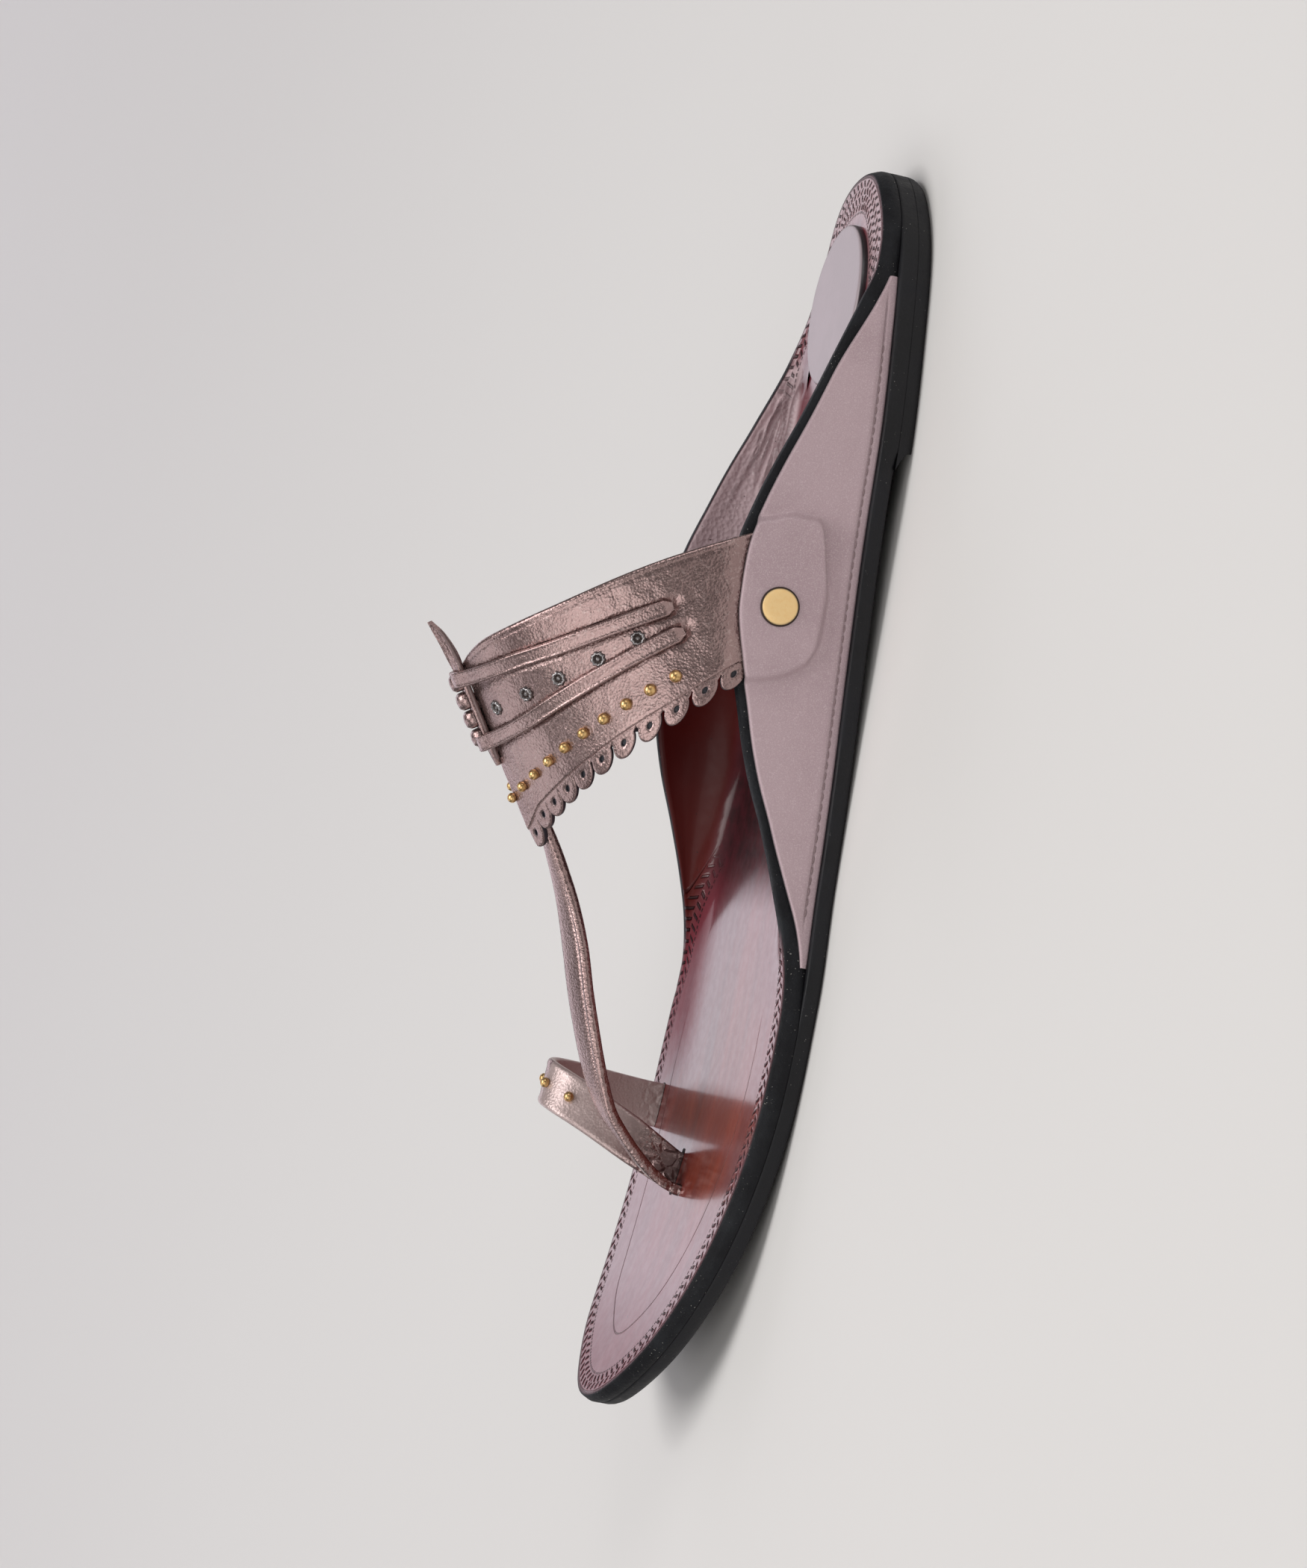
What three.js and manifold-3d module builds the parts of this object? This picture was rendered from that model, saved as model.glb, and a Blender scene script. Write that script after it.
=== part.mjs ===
// Flat leather toe-ring sandal for the left foot.
// X runs from heel to toe, Y towards the outer (little toe) side, Z up. Lengths are in millimetres.
import * as THREE from 'three';
import { mergeVertices } from 'three/addons/utils/BufferGeometryUtils.js';
import Module from 'manifold-3d';

const wasm = await Module();
wasm.setup();

// Overall sizes
const LENGTH = 254;
const SEAT_GAP = 0.3;
const OUTER = 1;
const INNER = -1;

// Sole stack
const LIFT_HEIGHT = 2.95;
const SHANK_RISE = 3.25;
const OUTSOLE_THICK = 3.3;
const INSOLE_THICK = 3.6;
const STACK_THICK = OUTSOLE_THICK + SEAT_GAP + INSOLE_THICK;
const BREAST_X = 60;
const BALL_FLAT_X = 146;
const SPRING_X = 176;
const TOE_SPRING = 13.46;
const SPRING_POWER = 2.23;
const SOLE_STEPS = 46;
const EDGE_ROUND = 0.8;

// Half widths of the sole either side of the centre line
const OUTLINE = [
  { x: 0, outer: 0, inner: 0 },
  { x: 5, outer: 11.6, inner: 14.9 },
  { x: 15, outer: 20.4, inner: 20.8 },
  { x: 33, outer: 27.4, inner: 27.3 },
  { x: 56, outer: 33.1, inner: 28.6 },
  { x: 86, outer: 34.7, inner: 26.6 },
  { x: 117, outer: 35.7, inner: 27.2 },
  { x: 145, outer: 37.6, inner: 32.6 },
  { x: 168, outer: 41.2, inner: 39.9 },
  { x: 188, outer: 40.7, inner: 42.4 },
  { x: 208, outer: 37.4, inner: 39.9 },
  { x: 226, outer: 31.3, inner: 35.2 },
  { x: 240, outer: 22.6, inner: 28.2 },
  { x: 249, outer: 12.3, inner: 17.4 },
  { x: 254, outer: -2.2, inner: 2.2 },
];

// Rise of the two side wings above the top of the insole
const WING_RISE = [
  { x: 14, outer: 0, inner: 0 },
  { x: 20, outer: 0.6, inner: 0 },
  { x: 27, outer: 3, inner: 0.1 },
  { x: 39, outer: 7.4, inner: 2.2 },
  { x: 53, outer: 12.3, inner: 7 },
  { x: 64, outer: 16.2, inner: 11.2 },
  { x: 72, outer: 18.7, inner: 14.2 },
  { x: 81, outer: 20.9, inner: 17.6 },
  { x: 92, outer: 21.3, inner: 20.5 },
  { x: 103, outer: 19.3, inner: 20.9 },
  { x: 112, outer: 16.8, inner: 19.7 },
  { x: 120, outer: 14.7, inner: 17.9 },
  { x: 126, outer: 12.7, inner: 15.8 },
  { x: 135, outer: 8.9, inner: 11.6 },
  { x: 145, outer: 5.1, inner: 7 },
  { x: 154, outer: 2.1, inner: 3.2 },
  { x: 163, outer: 0.3, inner: 0.8 },
  { x: 170, outer: 0, inner: 0 },
];
const WING_THICK = 2.5;
const WING_LEAN = 0.1;
const WING_INSET = 2;
const WING_ROOT = 9;
const WING_CURVE_STEPS = 5;
const WALL_STEPS = 3;
const INSET_REAR = [8, 22];
const INSET_FRONT = [160, 174];

// Covers outside the wings
const COVER_THICK = 1;
const COVER_DROP = 2.1;
const COVER_REAR_X = 25;
const COVER_FRONT_X = 160;
const COVER_COARSE = 6;
const COVER_FINE = 2.6;
const COVER_FINE_REAR = 68;
const COVER_FINE_FRONT = 112;
const COVER_ROWS = 6;
const POCKET_MARGIN = 2.4;
const POCKET_SLACK = 0.15;
const POCKET_FADE = 2.6;

// Instep band: outer face at its joint with the wings and along the crest
const BAND_THICK = 1.2;
const CREST_Y = -4;
const BAND_ARCH = 0.62;
const BAND_EDGES = {
  rear: { crest: [111, 75.6], bow: [0.42, 0.9] },
  front: { crest: [141, 55.6], bow: [0.3, 0.7] },
};
const BAND_JOINTS = {
  [OUTER]: { rear: [78.3, 29], front: [103.5, 27] },
  [INNER]: { rear: [88, 28.4], front: [112, 27.2] },
};
const BAND_ARC_STEPS = 18;
const BAND_ROWS = 3;

// Ends of the band tucked between wing and cover; those of the inner side lie further forward
const TUCK_SHIFT = { [OUTER]: 0, [INNER]: 9 };
const BAND_TUCK = [
  { z: 24, rear: 76.6, front: 104.2 },
  { z: 19, rear: 75.6, front: 103.4 },
  { z: 15.8, rear: 78.6, front: 99.8 },
  { z: 13.8, rear: 83, front: 95.5 },
];

// Scalloped trim along the front edge of the band
const TRIM_SINK = 0.12;
const TRIM_LAP = 0.8;
const TRIM_ROOT = 3.5;
const TRIM_ROOT_END = 2;
const TRIM_LOBE = 2.8;
const TRIM_LOBES = { outer: 11, inner: 8 };
const TRIM_LOBE_STEPS = 6;
const TRIM_END = 0.995;
const TRIM_HOLE_RADIUS = 0.6;
const TRIM_HOLE_SIDES = 5;
const TRIM_CREST_REACH = 2.8;

// Raised thongs on the band, as places between its rear (0) and front (1) edge
const THONG_WIDTH = 3.3;
const THONG_THICK = 1.5;
const THONG_STEPS = 10;
const THONG_REACH = { front: [0.06, 0.81], rear: [0.06, 0.775] };
const THONG_COURSE = [
  { across: 0, front: 0.552, rear: 0.165 },
  { across: 0.067, front: 0.568, rear: 0.19 },
  { across: 0.187, front: 0.607, rear: 0.22 },
  { across: 0.26, front: 0.615, rear: 0.238 },
  { across: 0.415, front: 0.612, rear: 0.288 },
  { across: 0.59, front: 0.608, rear: 0.331 },
  { across: 0.7, front: 0.6, rear: 0.353 },
  { across: 0.81, front: 0.591, rear: 0.375 },
];

// Spine folded along the crest of the band
const SPINE = [
  { along: 0.7, lift: 0, width: 1.2, thick: 0.8 },
  { along: 0.6, lift: 0, width: 2.2, thick: 1.1 },
  { along: 0.4, lift: 0, width: 2.8, thick: 1.3 },
  { along: 0.2, lift: 0, width: 3, thick: 1.3 },
  { along: 0.03, lift: 0.2, width: 3.2, thick: 1.3 },
  { along: -0.09, lift: 0.9, width: 3, thick: 1.2 },
  { along: -0.19, lift: 2.1, width: 1.4, thick: 0.9 },
];
const SPINE_STEPS = 18;

// Studs and rosettes
const STUD_RADIUS = 1.25;
const STUD_SIDES = 7;
const STUD_ROW = { place: 0.9, pitch: 0.087, perSide: 9 };
const ROSETTE_RADIUS = 1.5;
const ROSETTE_HEIGHT = 0.7;
const ROSETTE_SIDES = 8;
const ROSETTE_ROW = [
  { across: 0.114, place: 0.427 },
  { across: 0.26, place: 0.459 },
  { across: 0.391, place: 0.484 },
  { across: 0.532, place: 0.499 },
  { across: 0.664, place: 0.493 },
];

// Centre strap from under the band down to the toe slit
const TOE_STRAP = [
  { x: 137.5, y: -4, z: 53.5, width: 4, thick: 1.8 },
  { x: 141.5, y: -4, z: 51, width: 4.4, thick: 1.8 },
  { x: 145.3, y: -4, z: 48.6, width: 4.8, thick: 1.9 },
  { x: 150.6, y: -3.8, z: 45.7, width: 5.6, thick: 2 },
  { x: 157.2, y: -3.6, z: 42.5, width: 7.4, thick: 2 },
  { x: 165.4, y: -3.2, z: 39.4, width: 9, thick: 2 },
  { x: 173.7, y: -2.8, z: 36.8, width: 9, thick: 2 },
  { x: 180.5, y: -2.4, z: 34.4, width: 8.8, thick: 2 },
  { x: 187, y: -2, z: 31.9, width: 8.2, thick: 2 },
  { x: 192.7, y: -1.6, z: 29.3, width: 7.2, thick: 2 },
  { x: 196.8, y: -1.5, z: 26.8, width: 6.4, thick: 2 },
  { x: 200.1, y: -1.5, z: 23.7, width: 5.8, thick: 2 },
  { x: 205.8, y: -1.6, z: 17.3, width: 5, thick: 2 },
  { x: 208.3, y: -1.7, z: 13.4, width: 4.7, thick: 1.9 },
  { x: 209.6, y: -1.7, z: 9.6, width: 4.6, thick: 1.8 },
  { x: 209.8, y: -1.7, z: 6.4, width: 4.6, thick: 1.8 },
];
const TOE_STRAP_STEPS = 30;

// Toe ring around the big toe; lean is the tilt of its width towards the heel
const TOE_RING = [
  { x: 206.4, y: -6.2, z: 5.9, lean: 0 },
  { x: 206.2, y: -6.2, z: 9.4, lean: 6 },
  { x: 204.2, y: -6.2, z: 14, lean: 20 },
  { x: 200.6, y: -7, z: 21.2, lean: 22 },
  { x: 197.2, y: -9.2, z: 28.2, lean: 18 },
  { x: 194.8, y: -13.4, z: 33.4, lean: 12 },
  { x: 193.4, y: -19.4, z: 35.4, lean: 6 },
  { x: 192.8, y: -25.6, z: 33.2, lean: -2 },
  { x: 192.9, y: -30.2, z: 27, lean: -6 },
  { x: 193.6, y: -32.6, z: 18, lean: -8 },
  { x: 194.1, y: -33.3, z: 9.6, lean: 0 },
  { x: 194.1, y: -33.3, z: 4.9, lean: 0 },
];
const RING_WIDTH = 9.2;
const RING_THICK = 1.6;
const RING_STEPS = 30;
const RING_STUDS = [0.42, 0.52, 0.62];

// Slots in the insole for the strap ends
const SLOT_CLEARANCE = 0.35;
const SLOT_DEPTH = 30;
const SLOTS = [
  { x: 206.4, y: -6.2, length: RING_WIDTH, width: RING_THICK },
  { x: 194.1, y: -33.3, length: RING_WIDTH, width: RING_THICK },
  { x: 209.7, y: -2.7, length: 2.4, width: 6.8 },
];

// Heel pad and rivets
const PAD = { x: 27.5, y: -2.2, halfLength: 16.6, halfWidth: 16.3, thick: 1.2, sides: 40 };
const RIVET = { x: 91.8, z: 21.4, radius: 3.9, thick: 0.8, sides: 20 };

// Materials
const PALETTE = {
  sole: { color: 0x2a292d, roughness: 0.7, metalness: 0 },
  insole: { color: 0xab9aa7, roughness: 0.35, metalness: 0 },
  cover: { color: 0x9b878b, roughness: 0.45, metalness: 0.35 },
  strap: { color: 0x94817f, roughness: 0.4, metalness: 0.5 },
  gold: { color: 0xe0ba7c, roughness: 0.3, metalness: 0.9 },
  silver: { color: 0x6a6669, roughness: 0.35, metalness: 0.9 },
  pad: { color: 0xb1a6ad, roughness: 0.5, metalness: 0 },
};

// Smooth curve through the rows of a table, held back from overshooting
function tableCurve(rows, key, column) {
  const xs = rows.map((row) => row[key]);
  const ys = rows.map((row) => row[column]);
  const slopes = xs.slice(1).map((x, i) => (ys[i + 1] - ys[i]) / (x - xs[i]));
  const tangents = xs.map((_, i) => {
    if (i === 0) return slopes[0];
    if (i === xs.length - 1) return slopes[i - 1];
    const [before, after] = [slopes[i - 1], slopes[i]];
    if (before * after <= 0) return 0;
    const share = (xs[i + 1] - xs[i]) / (xs[i + 1] - xs[i - 1]);
    const limit = 3 * Math.min(Math.abs(before), Math.abs(after));
    return THREE.MathUtils.clamp(before * share + after * (1 - share), -limit, limit);
  });
  return (value) => {
    const x = THREE.MathUtils.clamp(value, xs[0], xs[xs.length - 1]);
    let i = 0;
    while (i < xs.length - 2 && x > xs[i + 1]) i += 1;
    const span = xs[i + 1] - xs[i];
    const t = (x - xs[i]) / span;
    const rise = ys[i + 1] - ys[i];
    const start = span * tangents[i];
    const end = span * tangents[i + 1];
    return ys[i] + t * (start + t * (3 * rise - 2 * start - end + t * (start + end - 2 * rise)));
  };
}

const { smoothstep } = THREE.MathUtils;

// Sole profile and outline
function underside(x) {
  if (x > SPRING_X) {
    return TOE_SPRING * ((x - SPRING_X) / (LENGTH - SPRING_X)) ** SPRING_POWER;
  }
  return SHANK_RISE * (1 - smoothstep(x, BREAST_X, BALL_FLAT_X));
}

const insoleTop = (x) => underside(x) + STACK_THICK;
const outsoleTop = (x) => underside(x) + OUTSOLE_THICK;

const toeAngle = (x) => Math.acos(THREE.MathUtils.clamp(1 - (2 * x) / LENGTH, -1, 1));
const outlineByAngle = OUTLINE.map((row) => ({ ...row, angle: toeAngle(row.x) }));
const outlineCurve = {
  [OUTER]: tableCurve(outlineByAngle, 'angle', 'outer'),
  [INNER]: tableCurve(outlineByAngle, 'angle', 'inner'),
};
const wingCurve = {
  [OUTER]: tableCurve(WING_RISE, 'x', 'outer'),
  [INNER]: tableCurve(WING_RISE, 'x', 'inner'),
};

function halfWidth(side, angle) {
  const curve = outlineCurve[side];
  if (angle < 0) return -curve(-angle);
  if (angle > Math.PI) return 2 * curve(Math.PI) - curve(2 * Math.PI - angle);
  return curve(angle);
}

function edgeAt(side, angle) {
  const step = 0.02;
  const place = (a) => new THREE.Vector2((LENGTH * (1 - Math.cos(a))) / 2, side * halfWidth(side, a));
  const point = place(angle);
  const tangent = place(angle + step).sub(place(angle - step)).normalize();
  const inward = new THREE.Vector2(side * tangent.y, -side * tangent.x);
  return { point, inward };
}

function wallInset(x) {
  const rear = smoothstep(x, INSET_REAR[0], INSET_REAR[1]);
  const front = 1 - smoothstep(x, INSET_FRONT[0], INSET_FRONT[1]);
  return WING_INSET * rear * front;
}

// Point outside (positive) or inside the outer wall of a wing, at a height
function wallPoint(side, x, z, out) {
  const { point, inward } = edgeAt(side, toeAngle(x));
  const inset = wallInset(x) + WING_LEAN * Math.max(0, z - insoleTop(x)) - out;
  return new THREE.Vector3(point.x + inward.x * inset, point.y + inward.y * inset, z);
}

// Closed loop around the sole: out along the outer side, back along the inner side
function soleLoop(insetAt, heightAt, fromAngle = 0, toAngle = Math.PI, steps = SOLE_STEPS) {
  const loop = [];
  const whole = toAngle === Math.PI;
  const add = (side, i) => {
    const angle = fromAngle + ((toAngle - fromAngle) * i) / steps;
    const { point, inward } = edgeAt(side, angle);
    const inset = insetAt(side, point.x);
    const x = point.x + inward.x * inset;
    const y = point.y + inward.y * inset;
    loop.push(new THREE.Vector3(x, y, heightAt(side, x, point.x)));
  };
  for (let i = 0; i <= steps; i += 1) add(OUTER, i);
  for (let i = whole ? steps - 1 : steps; i >= 1; i -= 1) add(INNER, i);
  return loop;
}

// Closed bodies
function closedBody(points, triangles) {
  const kept = triangles.filter(([a, b, c]) => a !== b && b !== c && c !== a);
  const normal = new THREE.Vector3();
  let volume = 0;
  for (const [a, b, c] of kept) {
    volume += points[a].dot(normal.crossVectors(points[b], points[c]));
  }
  const order = volume < 0 ? kept.map(([a, b, c]) => [a, c, b]) : kept;
  const geometry = new THREE.BufferGeometry();
  geometry.setAttribute(
    'position',
    new THREE.Float32BufferAttribute(points.flatMap((p) => p.toArray()), 3),
  );
  geometry.setIndex(order.flat());
  return geometry;
}

function bodyFromLoops(loops) {
  const count = loops[0].length;
  const triangles = [];
  const id = (loop, i) => loop * count + (i % count);
  for (let k = 0; k < loops.length - 1; k += 1) {
    for (let i = 0; i < count; i += 1) {
      triangles.push([id(k, i), id(k + 1, i), id(k, i + 1)]);
      triangles.push([id(k, i + 1), id(k + 1, i), id(k + 1, i + 1)]);
    }
  }
  const last = loops.length - 1;
  for (let i = 0; i < count / 2; i += 1) {
    const near = i;
    const next = i + 1;
    const far = (count - i) % count;
    const farNext = count - i - 1;
    if (next > farNext) continue;
    triangles.push([id(last, near), id(last, far), id(last, next)]);
    triangles.push([id(last, next), id(last, far), id(last, farNext)]);
    triangles.push([id(0, near), id(0, next), id(0, far)]);
    triangles.push([id(0, next), id(0, farNext), id(0, far)]);
  }
  return closedBody(loops.flat(), triangles);
}

// Wall between two grids of points of the same size
function bodyFromGrids(outerGrid, innerGrid) {
  const columns = outerGrid.length;
  const rows = outerGrid[0].length;
  const half = columns * rows;
  const front = (i, j) => i * rows + j;
  const back = (i, j) => half + i * rows + j;
  const triangles = [];
  const quad = (a, b, c, d) => triangles.push([a, b, c], [a, c, d]);
  for (let i = 0; i < columns - 1; i += 1) {
    for (let j = 0; j < rows - 1; j += 1) {
      quad(front(i, j), front(i + 1, j), front(i + 1, j + 1), front(i, j + 1));
      quad(back(i, j), back(i, j + 1), back(i + 1, j + 1), back(i + 1, j));
    }
    quad(front(i, 0), back(i, 0), back(i + 1, 0), front(i + 1, 0));
    quad(front(i, rows - 1), front(i + 1, rows - 1), back(i + 1, rows - 1), back(i, rows - 1));
  }
  for (let j = 0; j < rows - 1; j += 1) {
    quad(front(0, j), front(0, j + 1), back(0, j + 1), back(0, j));
    const e = columns - 1;
    quad(front(e, j), back(e, j), back(e, j + 1), front(e, j + 1));
  }
  return closedBody([...outerGrid.flat(), ...innerGrid.flat()], triangles);
}

// Strap swept through stations, six-sided with thinned edges
function strapBody(stations) {
  const loops = stations.map(({ point, across, up, width, thick }) => {
    const corner = (a, b) => point.clone()
      .addScaledVector(across, (a * width) / 2)
      .addScaledVector(up, (b * thick) / 2);
    const flat = 0.78;
    return [
      corner(1, 0), corner(flat, 1), corner(-flat, 1),
      corner(-1, 0), corner(-flat, -1), corner(flat, -1),
    ];
  });
  const count = loops[0].length;
  const triangles = [];
  const id = (k, i) => k * count + (i % count);
  for (let k = 0; k < loops.length - 1; k += 1) {
    for (let i = 0; i < count; i += 1) {
      triangles.push([id(k, i), id(k, i + 1), id(k + 1, i)]);
      triangles.push([id(k, i + 1), id(k + 1, i + 1), id(k + 1, i)]);
    }
  }
  const last = loops.length - 1;
  for (let i = 1; i < count - 1; i += 1) {
    triangles.push([id(0, 0), id(0, i + 1), id(0, i)]);
    triangles.push([id(last, 0), id(last, i), id(last, i + 1)]);
  }
  return closedBody(loops.flat(), triangles);
}

// Joining and cutting
function toSolid(geometry) {
  const bare = geometry.clone();
  bare.deleteAttribute('normal');
  bare.deleteAttribute('uv');
  const merged = mergeVertices(bare, 1e-5);
  return new wasm.Manifold(new wasm.Mesh({
    numProp: 3,
    vertProperties: Float32Array.from(merged.attributes.position.array),
    triVerts: Uint32Array.from(merged.index.array),
  }));
}

function fromSolid(solid) {
  const mesh = solid.getMesh();
  const geometry = new THREE.BufferGeometry();
  geometry.setAttribute('position', new THREE.BufferAttribute(mesh.vertProperties, 3));
  geometry.setIndex(Array.from(mesh.triVerts));
  return geometry;
}

function cutAway(body, cutters) {
  return fromSolid(cutters.reduce((solid, cutter) => solid.subtract(toSolid(cutter)), toSolid(body)));
}

// Sole pieces
function outsoleBody() {
  const under = (inset, rise) => soleLoop(() => inset, (side, x) => underside(x) + rise);
  return bodyFromLoops([under(EDGE_ROUND, 0), under(0, EDGE_ROUND), under(0, OUTSOLE_THICK)]);
}

function heelLiftBody() {
  const profile = [
    { z: 0, breast: BREAST_X - 3.4, inset: 0.6 },
    { z: 0.7, breast: BREAST_X - 3.2, inset: 0 },
    { z: 1.8, breast: BREAST_X - 2.4, inset: 0 },
    { z: 2.5, breast: BREAST_X - 1.2, inset: 0 },
    { z: LIFT_HEIGHT, breast: BREAST_X + 0.6, inset: 0 },
  ];
  const steps = 14;
  return bodyFromLoops(profile.map(({ z, breast, inset }) => (
    soleLoop(() => inset, () => z, 0, toeAngle(breast), steps)
  )));
}

function insoleBody() {
  const rise = (side, x) => wingCurve[side](x);
  const bottom = (x) => underside(x) + OUTSOLE_THICK + SEAT_GAP;
  const loops = [
    soleLoop((side, x) => wallInset(x) + EDGE_ROUND, (side, x) => bottom(x)),
  ];
  for (let k = 0; k <= WALL_STEPS; k += 1) {
    const part = k / WALL_STEPS;
    const above = (side, x) => Math.max(0, part * (INSOLE_THICK + rise(side, x)) - INSOLE_THICK);
    loops.push(soleLoop(
      (side, x) => wallInset(x) + WING_LEAN * above(side, x),
      (side, x, edgeX) => {
        const low = bottom(x) + EDGE_ROUND;
        const high = insoleTop(x) + rise(side, edgeX);
        return low + (high - low) * part;
      },
    ));
  }
  for (let k = 0; k <= WING_CURVE_STEPS; k += 1) {
    const turn = (Math.PI / 2) * (k / WING_CURVE_STEPS);
    loops.push(soleLoop(
      (side, x) => {
        const high = rise(side, x) * (1 - Math.sin(turn));
        return wallInset(x) + WING_LEAN * high + WING_THICK + WING_ROOT * (1 - Math.cos(turn));
      },
      (side, x, edgeX) => insoleTop(x) + rise(side, edgeX) * (1 - Math.sin(turn)),
    ));
  }
  const slots = SLOTS.map(({ x, y, length, width }) => {
    const box = new THREE.BoxGeometry(length + 2 * SLOT_CLEARANCE, width + 2 * SLOT_CLEARANCE, SLOT_DEPTH);
    return box.translate(x, y, insoleTop(x));
  });
  return cutAway(bodyFromLoops(loops), slots);
}

function heelPadBody() {
  const { x, y, halfLength, halfWidth: halfAcross, thick, sides } = PAD;
  const pad = new THREE.CylinderGeometry(0.97, 1, thick, sides).rotateX(Math.PI / 2);
  pad.scale(halfLength, halfAcross, 1);
  return pad.translate(x, y, insoleTop(x) + SEAT_GAP + thick / 2);
}

// Band surface
function jointPoint(side, [x, z]) {
  return wallPoint(side, x, z, SEAT_GAP + BAND_THICK);
}

function bandEdge(side, name) {
  const edge = BAND_EDGES[name];
  const start = jointPoint(side, BAND_JOINTS[side][name]);
  const end = new THREE.Vector3(edge.crest[0], CREST_Y, edge.crest[1]);
  const reach = end.x - start.x;
  const low = new THREE.Vector3(
    start.x + reach * edge.bow[0],
    start.y,
    start.z + (end.z - start.z) * BAND_ARCH,
  );
  const high = new THREE.Vector3(
    start.x + reach * edge.bow[1],
    end.y + (start.y - end.y) * BAND_ARCH,
    end.z,
  );
  return new THREE.CubicBezierCurve3(start, low, high, end);
}

const bandEdges = Object.fromEntries([OUTER, INNER].map((side) => [side, {
  rear: bandEdge(side, 'rear'),
  front: bandEdge(side, 'front'),
}]));

// Outer face of the band: across is -1 at the inner wing, 0 on the crest, 1 at the outer wing
function bandPoint(across, place) {
  const side = across >= 0 ? OUTER : INNER;
  const along = THREE.MathUtils.clamp(1 - Math.abs(across), 0, 1);
  const rear = bandEdges[side].rear.getPointAt(along);
  const front = bandEdges[side].front.getPointAt(along);
  return rear.lerp(front, place);
}

function bandFrame(across, place) {
  const step = 0.02;
  const point = bandPoint(across, place);
  const acrossDir = bandPoint(Math.min(1, across + step), place)
    .sub(bandPoint(Math.max(-1, across - step), place)).normalize();
  const forward = bandPoint(across, place + step).sub(bandPoint(across, place - step)).normalize();
  const up = new THREE.Vector3().crossVectors(forward, acrossDir).normalize();
  return { point, across: acrossDir, forward, up };
}

function bandBody() {
  const outerGrid = [];
  const innerGrid = [];
  const tuckColumn = (side, row) => {
    const outer = [];
    const inner = [];
    for (let j = 0; j <= BAND_ROWS; j += 1) {
      const x = row.rear + ((row.front - row.rear) * j) / BAND_ROWS + TUCK_SHIFT[side];
      outer.push(wallPoint(side, x, row.z, SEAT_GAP + BAND_THICK));
      inner.push(wallPoint(side, x, row.z, SEAT_GAP));
    }
    outerGrid.push(outer);
    innerGrid.push(inner);
  };
  const archColumn = (across) => {
    const outer = [];
    const inner = [];
    for (let j = 0; j <= BAND_ROWS; j += 1) {
      const { point, up } = bandFrame(across, j / BAND_ROWS);
      outer.push(point);
      inner.push(point.clone().addScaledVector(up, -BAND_THICK));
    }
    outerGrid.push(outer);
    innerGrid.push(inner);
  };
  [...BAND_TUCK].reverse().forEach((row) => tuckColumn(INNER, row));
  for (let i = -BAND_ARC_STEPS; i <= BAND_ARC_STEPS; i += 1) archColumn(i / BAND_ARC_STEPS);
  BAND_TUCK.forEach((row) => tuckColumn(OUTER, row));
  return bodyFromGrids(outerGrid, innerGrid);
}

const trimRoot = (across) => (
  TRIM_ROOT + (TRIM_ROOT_END - TRIM_ROOT) * smoothstep(Math.abs(across), 0.75, 1)
);

// Scalloped trim: its root runs into the front edge of the band
function withScallops(band) {
  const lobes = TRIM_LOBES;
  const edgeLength = bandEdges[OUTER].front.getLength();
  const outerGrid = [];
  const innerGrid = [];
  const cutters = [];
  const column = (across, lobeTurn) => {
    const { point, forward, up } = bandFrame(across, 1);
    const nearCrest = 1 - smoothstep(Math.abs(across) * edgeLength, 0, 9);
    const root = trimRoot(across);
    const reach = root + TRIM_LOBE * Math.sqrt(Math.sin(lobeTurn)) + TRIM_CREST_REACH * nearCrest;
    const ways = [-TRIM_LAP, root / 2, reach];
    const row = (depth) => ways.map((way) => (
      point.clone().addScaledVector(forward, way).addScaledVector(up, -depth)
    ));
    outerGrid.push(row(TRIM_SINK));
    innerGrid.push(row(BAND_THICK - TRIM_SINK));
  };
  const first = -lobes.inner * TRIM_LOBE_STEPS;
  const last = lobes.outer * TRIM_LOBE_STEPS;
  for (let i = first; i <= last; i += 1) {
    const count = (i < 0 ? lobes.inner : lobes.outer) * TRIM_LOBE_STEPS;
    const turn = Math.PI * ((((i % TRIM_LOBE_STEPS) + TRIM_LOBE_STEPS) % TRIM_LOBE_STEPS) / TRIM_LOBE_STEPS);
    column((TRIM_END * i) / count, turn);
  }
  const drill = (across) => {
    const { point, forward, up } = bandFrame(across, 1);
    const hole = new THREE.CylinderGeometry(TRIM_HOLE_RADIUS, TRIM_HOLE_RADIUS, 6, TRIM_HOLE_SIDES);
    hole.applyQuaternion(new THREE.Quaternion().setFromUnitVectors(new THREE.Vector3(0, 1, 0), up));
    const spot = point.clone().addScaledVector(forward, trimRoot(across) + 0.5);
    cutters.push(hole.translate(spot.x, spot.y, spot.z));
  };
  for (let k = 0; k < lobes.outer; k += 1) drill((TRIM_END * (k + 0.5)) / lobes.outer);
  for (let k = 0; k < lobes.inner; k += 1) drill((-TRIM_END * (k + 0.5)) / lobes.inner);
  const joined = toSolid(band).add(toSolid(bodyFromGrids(outerGrid, innerGrid)));
  return cutAway(fromSolid(joined), cutters);
}

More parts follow.
